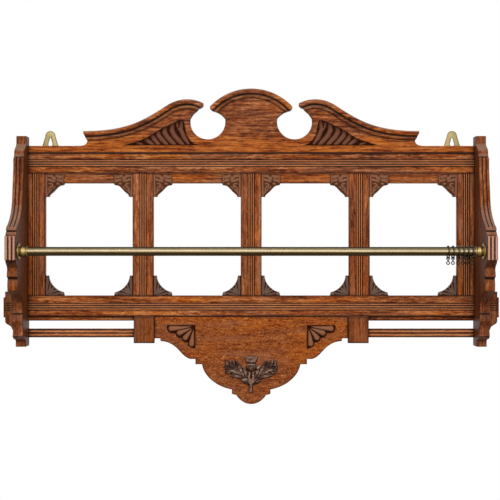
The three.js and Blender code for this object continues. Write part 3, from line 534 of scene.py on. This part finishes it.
# Carving
def strokes_height(u, v, strokes):
    """Height of the rounded strokes over each point. A stroke is its points, the half-width and
    the height at each, and the depth of its vein."""
    total = np.zeros(u.shape)
    for points, widths, tops, vein in strokes:
        ratio = np.full(u.shape, 9.0)
        top = np.zeros(u.shape)
        spans = zip(points, points[1:], widths, widths[1:], tops, tops[1:])
        for (pu, pv), (qu, qv), wp, wq, hp, hq in spans:
            du, dv = qu - pu, qv - pv
            t = np.clip(((u - pu) * du + (v - pv) * dv) / (du * du + dv * dv), 0, 1)
            distance = np.hypot(u - pu - t * du, v - pv - t * dv) / (wp + (wq - wp) * t)
            top = np.where(distance < ratio, hp + (hq - hp) * t, top)
            ratio = np.minimum(ratio, distance)
        dome = top * np.sqrt(np.clip(1 - ratio ** 2, 0, 1))
        dome -= vein * np.exp(-((ratio / 0.2) ** 2))
        total = np.maximum(total, np.where(ratio < 1, dome, 0))
    return total


def densified(points, step):
    out = []
    for (a, b), (c, d) in zip(points, points[1:]):
        n = max(1, round(math.hypot(c - a, d - b) / step))
        out += [(a + (c - a) * i / n, b + (d - b) * i / n) for i in range(n)]
    return out + [points[-1]]


def slab(name, u, v, height, place, back, pole, depth=DEPTH):
    """A closed carved slab: its front follows the grid of local points and heights, and its back
    is flat. With `pole`, the grid's first row is one point. `depth` is that of its ground."""
    x, z = place(u, v)
    rows, cols = u.shape
    bm = bmesh.new()
    levels = []

    def corner(i, j, out=None):
        levels.append(1.0 if out is not None else height[i, j] / depth + 1)
        level = FACE + height[i, j] if out is None else out
        return bm.verts.new((x[i, j] * MM, -level * MM, z[i, j] * MM))

    first = [corner(0, 0)] * cols if pole else [corner(0, j) for j in range(cols)]
    front = [first] + [[corner(i, j) for j in range(cols)] for i in range(1, rows)]
    for i in range(rows - 1):
        for j in range(cols - 1):
            around = [front[i][j], front[i][j + 1], front[i + 1][j + 1], front[i + 1][j]]
            bm.faces.new(list(dict.fromkeys(around)))
    loop = [(0, 0)] if pole else [(0, j) for j in range(cols - 1)]
    loop += [(i, cols - 1) for i in range(1 if pole else 0, rows - 1)]
    loop += [(rows - 1, j) for j in range(cols - 1, 0, -1)]
    loop += [(i, 0) for i in range(rows - 1, 0, -1)]
    behind = [corner(i, j, back) for i, j in loop]
    bm.faces.new(behind)
    for k, (i, j) in enumerate(loop):
        m = (k + 1) % len(loop)
        bm.faces.new((front[i][j], front[loop[m][0]][loop[m][1]], behind[m], behind[k]))
    bmesh.ops.recalc_face_normals(bm, faces=bm.faces)
    mesh = to_mesh(bm, name, 60)
    settle(mesh, 1.0, np.array(levels))
    return mesh


def fan_of(points, steps):
    """A grid that spreads from the local origin to a boundary line."""
    edge = np.array(densified(points, CARVING_STEP))
    share = np.linspace(0, 1, steps)[:, None]
    return share * edge[None, :, 0], share * edge[None, :, 1]


# Boundary of a lower corner: up the end of its level leg, round the hollow, to its stem
FOOT_EDGE = [
    (40.95, 0), (40.1, 3.6), (39, 7.2), (34, 8.75), (29.3, 10.5), (24.3, 13.6), (19.2, 17.8),
    (13.7, 23.7), (9.6, 30.5), (7.35, 37), (6.35, 44), (0, 44),
]
# Boundary of an upper corner: the share of it that lies on the header, then the slope to its stem
TOP_EDGE = [
    (41, 0), (41, 21.3), (39.4, 23.1), (31.2, 24.6), (26.2, 28.5), (17.4, 37.95), (9.6, 44.4),
    (8.2, 47.1), (7.8, 49.2), (0, 49.2),
]


def leaf(points, widths, top, vein):
    """A stroke of one height, or of a height at each point."""
    return (points, widths, top if isinstance(top, list) else [top] * len(points), vein)


# Sprays of leaves from the inner angle of a corner: at the foot of a bay, and at its top
FOOT_LEAVES = [
    leaf([(3.2, 3), (3.2, 18), (4.4, 31), (3.9, 42)], [2.4, 3.2, 3.6, 2.6], 1.9, 0.5),
    leaf([(5.5, 5), (9.6, 15), (11.4, 26)], [1.9, 3.1, 1.6], 2.0, 0.6),
    leaf([(7, 5), (13.8, 12.6), (18.6, 18.4)], [1.9, 3.2, 1.7], 1.8, 0.5),
    leaf([(8, 3.8), (17, 8.8), (27, 12)], [1.9, 3.2, 1.8], 2.1, 0.7),
    leaf([(7, 1.8), (18, 2.8), (29, 5)], [1.7, 2.5, 2.6], 1.7, 0.4),
    leaf([(35.2, 4.4), (36.8, 4.4)], [3.9, 3.6], 2.1, 0),
]
TOP_LEAVES = [
    leaf([(1.4, 0.5), (1.4, 25), (2.4, 47)], [3.0, 3.0, 3.2], 1.9, 0),
    leaf([(7, 3), (14, 4)], [3.6, 3.6], 1.8, 0.3),
    leaf([(17.5, 8.5), (19.5, 9.5)], [4.4, 4.4], 1.9, 0.6),
    leaf([(6.5, 11.5), (14, 14.2), (20, 15.4)], [3.2, 3.0, 2.4], 1.8, 0.2),
    leaf([(24.5, 3.6), (33, 6)], [3.8, 4.0], 1.7, 0.3),
    leaf([(27.5, 12.4), (35, 14.2)], [3.4, 3.4], 1.9, 0.5),
    leaf([(26.5, 20.6), (29, 21)], [2.8, 2.4], 2.0, 0),
    leaf([(8, 20.8), (13, 20.2), (16, 23.6), (13.8, 27.8), (9.2, 28.2)],
         [1.7, 2.0, 2.0, 2.0, 1.8], 1.9, 0),
    leaf([(11.4, 24), (12, 24.4)], [1.3, 1.3], 1.4, 0),
    leaf([(7.6, 31.6), (9.4, 36), (6.8, 41)], [2.3, 2.5, 2.0], 1.8, 0.2),
    leaf([(20.4, 27.6), (17.6, 31)], [2.0, 1.8], 1.9, 0),
    leaf([(13.6, 32.4), (12.4, 35)], [1.9, 1.7], 1.7, 0),
    leaf([(38.2, 1), (38.6, 12), (39, 18.6)], [2.4, 2.2, 2.0], 1.6, 0),
]


def carve_corner(name, place, edge, leaves, depth, material, back, *replaced):
    """A carved corner, with a ground as deep as `depth`, that spreads from its inner angle."""
    u, v = fan_of(edge, 44)
    height = strokes_height(u, v, leaves) * depth / DEPTH - depth
    mesh = slab(name, u, v, height, place, back, True, depth)
    piece(name, mesh, material, "rack", "oak_carving", *replaced)


# The frame
HEADER_BOTTOM, SILL = -52.0, -299.5
CARVED_TOP = -32.8  # the top corners are carved up to here
TOP_LEG = HEADER_BOTTOM - 30  # and down to here

board("top_rail", OAK["top"], 0.9, 0.92, reeds=reeding("top_rail", 3, 2))
board("bottom_rail", OAK["low"], 0.9, 1.08, reeds=reeding("bottom_rail", 3, 2))
for k, tone in enumerate((1.3, 1.28, 1.2, 1.2, 1.22), start=1):
    board(f"stile_{k}", OAK["z"], 0.9, tone, reeds=reeding(f"stile_{k}", 3, 0))

# A top corner's pocket takes its share of the header, and all that hangs below it
level, length = CARVED_TOP - HEADER_BOTTOM - 0.04, CARVED_TOP - TOP_LEG + 2
TOP_POCKET = [(-1, 0), (41, 0), (41, level), (43, level), (43, length), (-1, length)]
for k in range(1, 5):
    low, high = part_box(f"header_{k}")
    corners = (("left", 1, low.x / MM), ("right", -1, high.x / MM))
    pockets = [[(x + hand * u, CARVED_TOP - v) for u, v in TOP_POCKET] for _, hand, x in corners]
    board(f"header_{k}", OAK["header"], 0.9, 0.98, pockets=pockets)
    for side, hand, x in corners:
        carve_corner(f"carving_top_{k}_{side}", lambda a, b: (x + hand * a, CARVED_TOP - b),
                     TOP_EDGE, TOP_LEAVES, 1.2, TOPS, FACE - POCKET)
        carve_corner(f"carving_foot_{k}_{side}", lambda a, b: (x + hand * a, SILL + b),
                     FOOT_EDGE, FOOT_LEAVES, 1.9, FOLIAGE, 0, f"corner_{k}_{side}")

# The crest's carved fields, drawn on the right: their upper edge, and the curved lobes in them
FIELD_BASE = 30.8
FIELD_ROWS = 56
FIELD_TOP = [
    (113, 31.2), (126.5, 35.2), (135.6, 43.5), (142.6, 54), (145, 68), (147.6, 82), (151, 86.6),
    (156, 87.2), (163, 84.6), (177, 77.8), (190.8, 71.4), (204.7, 64.2), (217.4, 55.8),
    (232.4, 46.6), (254, 38.8), (280, 31.2),
]
LOBES = [
    ([(152.6, 84), (155.2, 66), (147.4, 48), (138.5, 35)], [3.4, 5.2, 5.6, 3.4]),
    ([(163, 82), (162.6, 74), (159.6, 64)], [2.2, 2.5, 1.0]),
    ([(173, 77), (174.6, 64), (168.8, 52), (159, 41), (150, 32)], [4.6, 5.7, 5.9, 5.7, 4.2]),
    ([(189.6, 69), (190.6, 59), (184, 48.6), (176, 40), (168, 32)], [4.7, 5.6, 5.8, 5.6, 4.2]),
    ([(205, 61.5), (203.6, 52), (196, 43), (186, 33)], [4.6, 5.4, 5.6, 4.4]),
    ([(218, 53), (213.8, 44.6), (204, 33.4)], [4.3, 5.2, 4.4]),
    ([(232, 44), (225.4, 39), (216.5, 32.6)], [3.9, 4.6, 3.8]),
    ([(251.5, 37), (241, 32.6)], [3.1, 3.4]),
]
for side, hand in SIDES[::-1]:
    upper = np.array(densified(FIELD_TOP, CARVING_STEP))
    share = np.linspace(0, 1, FIELD_ROWS)[:, None]
    u = np.repeat(upper[None, :, 0], FIELD_ROWS, axis=0)
    v = FIELD_BASE + share * (upper[None, :, 1] - FIELD_BASE)
    # Each lobe sinks low at its top end and near the base, where the carved material's painted
    # shade darkens it
    lobes = [leaf(p, w, [0.5] + [2.0] * (len(p) - 1), 0) for p, w in LOBES]
    height = strokes_height(u, v, lobes) * np.clip((v - FIELD_BASE - 0.5) / 1.5, 0, 1) - DEPTH
    mesh = slab(f"carving_fan_{side}", u, v, height, lambda a, b: (hand * a, b),
                FACE - POCKET, False)
    piece(f"carving_fan_{side}", mesh, FAN, "rack", "oak_carving")
field = [(FIELD_TOP[0][0], FIELD_BASE), *FIELD_TOP, (FIELD_TOP[-1][0], FIELD_BASE)]
board("crest_board", OAK["crest"], 1.1, 0.95, pockets=mirrored(field))
for part in ("left", "arch", "right"):
    board(f"crest_moulding_{part}", OAK["moulding"], 0.5, 0.98)

# The apron's quarter fans: four petals that spread from the field's square corner
QUARTER = (123.0, -364.5)
QUARTER_EDGE = [
    (62, 0), (62.5, 8), (60, 14), (53, 17.5), (44, 18), (41.5, 24), (36, 27.5), (29.5, 28.5),
    (28.5, 34), (23, 37.5), (16.5, 38), (15.5, 45), (10, 49), (3, 51.5), (0, 52),
]
PETALS = [
    ([(9, 3.4), (30, 6), (53, 7.6)], [0.9, 3.6, 6.4]),
    ([(9, 7.4), (18, 10.6), (35, 17.4)], [0.8, 3.2, 6.1]),
    ([(6.8, 9.6), (12.4, 16), (22, 28)], [0.8, 3.2, 6.1]),
    ([(3.4, 11), (5.8, 22), (8.2, 41)], [0.8, 3.4, 6.4]),
]
for side, hand in SIDES[::-1]:
    u, v = fan_of(QUARTER_EDGE, 50)
    height = strokes_height(u, v, [leaf(p, w, 1.9, 0) for p, w in PETALS]) - DEPTH
    mesh = slab(f"carving_quarter_{side}", u, v, height,
                lambda a, b: (hand * (QUARTER[0] + a), QUARTER[1] - b), FACE - POCKET, True)
    piece(f"carving_quarter_{side}", mesh, PETAL, "rack", "oak_carving")
field = [(QUARTER[0] + u, QUARTER[1] - v) for u, v in [(0, 0), *QUARTER_EDGE]]
board("apron", OAK["apron"], 1.1, 1.0, pockets=mirrored(field))

for side in ("left", "right"):
    board(f"side_board_{side}", OAK["side"], 0.8, 0.95)
    board(f"ear_{side}", OAK["z"], 0.8, 0.85)
    board(f"pendant_block_{side}", OAK["block"], 1.1, 0.78)
    board(f"slat_{side}", OAK["x"], 0.7, 1.42, reeds=reeding(f"slat_{side}", 2, 2))


# Thistle, drawn from its top down
THISTLE_TOP = -433
THISTLE_LOW, THISTLE_HIGH, THISTLE_STEP = (-59.2, 0.2), (59.2, 80.6), 0.592


def raised(name, strokes, low, high, step, place):
    """A closed relief that stands on the face: the grid's cells that rise above it."""
    us = np.arange(low[0], high[0] + step, step)
    vs = np.arange(low[1], high[1] + step, step)
    u, v = np.meshgrid(us, vs, indexing="ij")
    height = strokes_height(u, v, strokes)
    x, z = place(u, v)
    up = height > 0.02
    cells = up[:-1, :-1] | up[1:, :-1] | up[1:, 1:] | up[:-1, 1:]
    bm = bmesh.new()
    made = {}

    def corner(i, j):
        if (i, j) not in made:
            level = FACE + (height[i, j] if up[i, j] else -SINK)
            made[i, j] = bm.verts.new((x[i, j] * MM, -level * MM, z[i, j] * MM))
        return made[i, j]

    for i, j in zip(*np.nonzero(cells)):
        bm.faces.new((corner(i, j), corner(i + 1, j), corner(i + 1, j + 1), corner(i, j + 1)))
    keys = list(made)
    bm.verts.index_update()
    rim = [[keys[v.index] for v in e.verts] for e in bm.edges if e.is_boundary]
    back = -(FACE - SINK - 0.3) * MM
    behind = {k: bm.verts.new((x[k] * MM, back, z[k] * MM)) for k in keys}
    for face in bm.faces[:]:
        bm.faces.new([behind[keys[v.index]] for v in face.verts])
    for a, b in rim:
        bm.faces.new((made[a], made[b], behind[b], behind[a]))
    bmesh.ops.recalc_face_normals(bm, faces=bm.faces)
    mesh = to_mesh(bm, name, 70)
    relief = np.array([height[k] / height.max() for k in keys] + [0.0] * len(keys))
    settle(mesh, 1.0, 0.15 + 0.85 * relief)
    return mesh


# The thistle's right leaf: its blade and ribs first, then the fingers that rise from them
LEAF_FINGERS = [
    ([(8, 52), (20, 40), (33, 32), (48, 25)], [4.5, 8.5, 9.5, 7.5], 1.3),
    ([(3.3, 57), (14.6, 46), (27.7, 37.5), (41.8, 31), (56, 31.4)], [2.6, 3.0, 2.9, 2.4, 1.3], 3.6),
    ([(6, 56), (18.3, 48.4), (30.5, 44.6), (43, 43.6)], [2.3, 3.3, 3.4, 1.4], 3.2),
    ([(5, 60), (13, 57), (21, 52.4)], [2.0, 3.1, 1.3], 2.8),
    ([(8.5, 46), (13.2, 35), (18.5, 23.6)], [2.3, 3.7, 1.4], 3.4),
    ([(15.8, 44), (22.6, 31), (28.4, 19.4), (32.2, 11)], [2.2, 3.7, 3.6, 1.4], 3.6),
    ([(24, 39.6), (31.4, 30), (36.6, 21), (38.6, 11.4)], [2.2, 3.6, 3.4, 1.4], 3.3),
    ([(32.4, 35.8), (40.4, 26.6), (44.8, 18), (46.6, 9.6)], [2.2, 3.6, 3.2, 1.4], 3.6),
    ([(41.8, 32), (49.6, 24.4), (53.4, 17.4), (55.4, 9.8)], [2.1, 3.2, 2.8, 1.2], 3.3),
    ([(49.6, 31), (55, 27.4), (57.4, 20)], [1.8, 2.4, 1.0], 3.0),
    ([(29, 38.4), (35.6, 40), (42, 38.6)], [1.9, 2.4, 1.0], 2.8),
    ([(41, 33), (48.6, 37), (55, 36)], [1.8, 2.3, 1.0], 2.8),
]


def thistle_strokes():
    out = []
    for k in range(-4, 5):  # the crown
        lean = k / 4
        out.append(leaf([(8.4 * lean, 13.2), (10.6 * lean, 7), (11.8 * lean, 2.2)],
                        [1.3, 1.7, 1.5], [3.6 - abs(lean), 2.8, 4.2 - abs(lean)], 0))
    out.append(leaf([(-2.4, 25), (2.4, 25)], [8.4, 8.4], 1.7, 0))
    out.append(leaf([(-8.4, 19.4), (0, 17.6), (8.4, 19.4)], [1.5, 1.8, 1.5], 3.9, 0))
    for row, half in ((-1, 9.4), (0, 9.0), (1, 5.6)):  # the scales of the bulb
        for k in range(-2, 3):
            a = 4.1 * k + 2.05 * (row % 2)
            if abs(a) < half:
                out.append(leaf([(a, 23.6 + 4.7 * row), (a * 0.96, 26.8 + 4.7 * row)],
                                [1.9, 1.5], [2.7, 2.1], 0))
    for hand in (-1, 1):
        out.append(leaf([(3.6 * hand, 36.6), (4.7 * hand, 45), (1.8 * hand, 58)],
                        [2.2, 3.0, 2.0], 3.3, 0.3))
        for index, (points, widths, top) in enumerate(LEAF_FINGERS):
            drift = 0.8 * math.sin(2.3 * index + hand)
            moved = [(hand * (a - drift * k * 0.3), b + drift * k * 0.4)
                     for k, (a, b) in enumerate(points)]
            tops = [top * (0.72 + 0.28 * math.cos(1.9 * k + index)) for k in range(len(points))]
            out.append(leaf(moved, widths, tops if index else top, 0.7))
    out.append(leaf([(14.5, 25.5), (19, 22.4)], [3.0, 2.4], 3.8, 0.5))
    out.append(leaf([(-12.5, 51.5), (-18, 52.4)], [3.6, 2.6], 3.9, 0.9))
    out.append(leaf([(0, 54), (-0.4, 66), (-1.6, 78.6)], [4.6, 4.0, 3.0], 3.1, 0.9))
    # A low rim round each stroke, which the carved material paints dark: painted shadow round the
    # leaves
    ground = [leaf(points, [w + 1.2 for w in widths], 0.55, 0) for points, widths, _, _ in out]
    return out + ground


mesh = raised("carving_thistle", thistle_strokes(), THISTLE_LOW, THISTLE_HIGH, THISTLE_STEP,
              lambda a, b: (a, THISTLE_TOP - b))
piece("carving_thistle", mesh, THISTLE, "rack", "oak_carving", "thistle_carving")


# Brass
SEAT = 491  # from the middle to a side board's inner face
FLANGE_PLATE = 3  # its thickness
TUBE_HALF, TUBE_BORE, TUBE_RADIUS = 489.0, 8.3, 9.5
SCREW_UP = 15.6  # from the rail's axis to a flange screw's
RING_YAW = (6, 5.5, 6, 5.5, 6, 5)  # in degrees about the upright
RING_RADIUS, RING_WIRE = 12.9, 1.4
EYE_UPPER, EYE_LOWER, EYE_WIRE = 3.05, 3.1, 1.05


def lathe(name, profile, centre, direction, sides):
    """Turns a closed profile of (radius, along) about an axis through the centre."""
    turn = Vector((0, 0, 1)).rotation_difference(Vector(direction)).to_matrix()
    bm = bmesh.new()
    rings = []
    for radius, along in profile:
        if radius < 1e-6:
            tip = Vector(centre) * MM + turn @ Vector((0, 0, along)) * MM
            rings.append([bm.verts.new(tip)] * sides)
            continue
        ring = []
        for k in range(sides):
            a = 2 * math.pi * k / sides
            point = turn @ Vector((radius * math.cos(a), radius * math.sin(a), along))
            ring.append(bm.verts.new((Vector(centre) + point) * MM))
        rings.append(ring)
    for first, second in zip(rings, rings[1:] + rings[:1]):
        for k in range(sides):
            m = (k + 1) % sides
            around = list(dict.fromkeys([first[k], first[m], second[m], second[k]]))
            if len(around) > 2:
                bm.faces.new(around)
    bmesh.ops.recalc_face_normals(bm, faces=bm.faces)
    return to_mesh(bm, name, 35)


def middle(node):
    low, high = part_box(node)
    return (low + high) / 2 / MM


def round_profile(points, radius, steps=3):
    """Rounds each corner of a closed profile a little."""
    out = []
    n = len(points)
    for k in range(n):
        before, here, after = (Vector((*points[(k + d) % n], 0)) for d in (-1, 0, 1))
        a, b = before - here, after - here
        r = min(radius, a.length * 0.4, b.length * 0.4)
        p, q = here + a.normalized() * r, here + b.normalized() * r
        for s in range(steps + 1):
            t = s / steps
            c = p.lerp(here, t).lerp(here.lerp(q, t), t)
            out.append((c.x, c.y))
    return out


rail = middle("brass_rail")
profile = [(TUBE_BORE, -TUBE_HALF), (TUBE_RADIUS, -TUBE_HALF), (TUBE_RADIUS, TUBE_HALF),
           (TUBE_BORE, TUBE_HALF)]
tube = lathe("brass_tube", profile, rail, (1, 0, 0), 96)
settle(tube)
piece("brass_tube", tube, TUBE, "rack", "brass", "brass_rail")

# A flange's radius, and the distance from the side board
FLANGE_PROFILE = [
    (9.65, 0), (18, 0), (18, 2), (17, FLANGE_PLATE), (10.5, FLANGE_PLATE), (10.5, 4.5),
    (11.6, 6), (12, 9.5), (11.4, 12), (10.8, 14), (10.6, 16), (11.4, 17.4), (11.3, 19.1),
    (10.6, 20), (9.65, 20),
]
for side, hand in SIDES:
    at = (hand * SEAT, rail.y, rail.z)
    mesh = lathe(f"brass_flange_{side}", round_profile(FLANGE_PROFILE, 0.5), at, (-hand, 0, 0), 72)
    settle(mesh)
    piece(f"brass_flange_{side}", mesh, GOLD, "rack", "brass", f"rail_flange_{side}")


def screw(node, centre, direction, head, length, shank):
    """A countersunk slotted screw with a slightly domed head. Its face is at the centre, and each
    screw has its slot at an angle of its own."""
    name = "brass_" + node
    profile = [(0, -length), (shank * 0.4, -length + 1.4), (shank, -length + 3),
               (shank, -(head - shank)), (head, -0.05), (head * 0.96, 0.12), (head * 0.6, 0.24),
               (0, 0.3)]
    mesh = lathe(name, profile, centre, direction, 32)
    turn = Vector((0, 0, 1)).rotation_difference(Vector(direction)).to_matrix().to_4x4()
    slot = bmesh.new()
    bmesh.ops.create_cube(slot, size=1.0)
    bmesh.ops.scale(slot, vec=(head * 2.4, head * 0.24, head * 0.4), verts=slot.verts)
    bmesh.ops.rotate(slot, matrix=Matrix.Rotation(0.6 + count, 3, "Z"), verts=slot.verts)
    bmesh.ops.translate(slot, vec=(0, 0, 0.2), verts=slot.verts)
    seat = Matrix.Translation(Vector(centre)) @ turn
    bmesh.ops.transform(slot, matrix=seat, verts=slot.verts)
    bmesh.ops.scale(slot, vec=(MM, MM, MM), verts=slot.verts)
    cutter = bpy.data.meshes.new("slot")
    slot.to_mesh(cutter)
    slot.free()
    mesh = cut(mesh, [cutter])
    settle(mesh)
    piece(name, mesh, GOLD, "rack", "brass", node)


for side, hand in SIDES:
    for k, up in ((1, SCREW_UP), (2, -SCREW_UP)):
        at = (hand * (SEAT - FLANGE_PLATE), rail.y, rail.z + up)
        screw(f"flange_screw_{side}_{k}", at, (-hand, 0, 0), 2.0, 9, 1.1)
    for k in (1, 2):
        at = middle(f"hanger_screw_{side}_{k}")
        screw(f"hanger_screw_{side}_{k}", (at.x, -0.3, at.z), (0, 1, 0), 3.6, 11.7, 1.6)
    plate = softened(f"hanging_plate_{side}", 0.5, segments=3)
    mesh = to_mesh(plate, f"brass_plate_{side}", SHARP)
    settle(mesh)
    piece(f"brass_plate_{side}", mesh, PLATE, "rack", "brass", f"hanging_plate_{side}")


def loop_mesh(bm, centre, normal, radius, wire, around, section):
    """Adds a wire loop to a mesh, with a number of points around it and around its wire."""
    turn = Vector((0, 0, 1)).rotation_difference(Vector(normal)).to_matrix()
    rings = []
    for i in range(around):
        a = 2 * math.pi * i / around
        ring = []
        for j in range(section):
            b = 2 * math.pi * j / section
            reach = radius + wire * math.cos(b)
            point = Vector((reach * math.cos(a), reach * math.sin(a), wire * math.sin(b)))
            ring.append(bm.verts.new((Vector(centre) + turn @ point) * MM))
        rings.append(ring)
    for i in range(around):
        for j in range(section):
            n, m = (i + 1) % around, (j + 1) % section
            bm.faces.new((rings[i][j], rings[n][j], rings[n][m], rings[i][m]))


for k, yaw in enumerate(RING_YAW, start=1):
    turn = Matrix.Rotation(math.radians(yaw), 3, "Z")
    bm = bmesh.new()
    loop_mesh(bm, middle(f"ring_{k}"), turn @ Vector((1, 0, 0)), RING_RADIUS, RING_WIRE, 96, 14)
    mesh = to_mesh(bm, f"brass_ring_{k}", 180)
    settle(mesh)
    piece(f"brass_ring_{k}", mesh, WIRE, f"ring_{k}", "brass", f"ring_{k}")
    low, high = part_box(f"ring_eyelet_{k}")
    centre = middle(f"ring_eyelet_{k}")
    facing = turn @ Vector((0, 1, 0))
    bm = bmesh.new()
    top, foot = high.z / MM - EYE_UPPER - EYE_WIRE, low.z / MM + EYE_LOWER + EYE_WIRE
    loop_mesh(bm, (centre.x, centre.y, top), facing, EYE_UPPER, EYE_WIRE, 40, 12)
    loop_mesh(bm, (centre.x, centre.y, foot), facing, EYE_LOWER, EYE_WIRE, 40, 12)
    loops = to_mesh(bm, f"brass_eyelet_{k}", 180)
    neck = [(0, -2.3), (1.1, -2.3), (1.36, -1), (1.36, 1), (1.1, 2.3), (0, 2.3)]
    height = (top - EYE_UPPER + foot + EYE_LOWER) / 2
    mesh = cut(loops, [lathe("neck", neck, (centre.x, centre.y, height), (0, 0, 1), 20)], "UNION")
    settle(mesh)
    piece(f"brass_eyelet_{k}", mesh, HOOK, f"eyelet_{k}", "brass", f"ring_eyelet_{k}")

# Stage, light and camera, in metres and watts
FLOOR_HEIGHT, FLOOR_SIZE = -2.2, 4.4
LAMPS = {  # place, aim, size and power
    "key": ((-0.5, -3.0, 1.3), (0, 0, -0.2), (2.0, 1.6), 46),
    "fill": ((0.9, -3.0, 0.2), (0, 0, -0.2), (1.8, 1.8), 20),
    "top": ((0.0, -0.9, 2.1), (0, -0.05, -0.1), (1.8, 0.7), 13),
}

floor_mesh = bpy.data.meshes.new("floor")
bm = bmesh.new()
bmesh.ops.create_grid(bm, x_segments=2, y_segments=2, size=FLOOR_SIZE)
bmesh.ops.translate(bm, vec=(0, 0, FLOOR_HEIGHT), verts=bm.verts)
bm.to_mesh(floor_mesh)
bm.free()
floor = bpy.data.objects.new("floor", floor_mesh)
scene.collection.objects.link(floor)
g = Graph(bpy.data.materials.new("pale_floor"))
tint = g.noise(g.node("TexCoord").outputs["Object"], (3.0, 3.0, 3.0))
paint = g.mix(tint, srgb(238, 238, 236), srgb(246, 246, 245))
floor_mesh.materials.append(g.finish({
    "Base Color": paint, "Roughness": 0.9, "Emission Color": (1, 1, 1, 1),
    "Emission Strength": g.times(g.backdrop(), 0.4),
}, tint, 0.05))

g = Graph(bpy.data.worlds.new("studio"))
scene.world = g.owner
lit = g.node("Background", {"Color": (0.96, 0.98, 1.0, 1), "Strength": 0.3})
white = g.node("Background", {"Color": (1, 1, 1, 1), "Strength": 1.0})
mixed = g.node("MixShader", {0: g.backdrop(), 1: lit.outputs[0], 2: white.outputs[0]})
g.node("OutputWorld", {0: mixed.outputs[0]})

for name, (place, aim, size, power) in LAMPS.items():
    data = bpy.data.lights.new(name, "AREA")
    data.shape = "RECTANGLE"
    data.size, data.size_y = size
    data.energy = power
    made = bpy.data.objects.new(name, data)
    made.location = place
    made.rotation_euler = (Vector(aim) - Vector(place)).to_track_quat("-Z", "Y").to_euler()
    scene.collection.objects.link(made)

camera = bpy.data.objects.new("camera", bpy.data.cameras.new("camera"))
camera.location = (-0.0026, -2.716, -0.1991)
camera.rotation_euler = (math.radians(90), 0, 0)
camera.data.sensor_width = 36
camera.data.lens = 88.36
scene.collection.objects.link(camera)
scene.camera = camera
scene.view_settings.view_transform = "Standard"
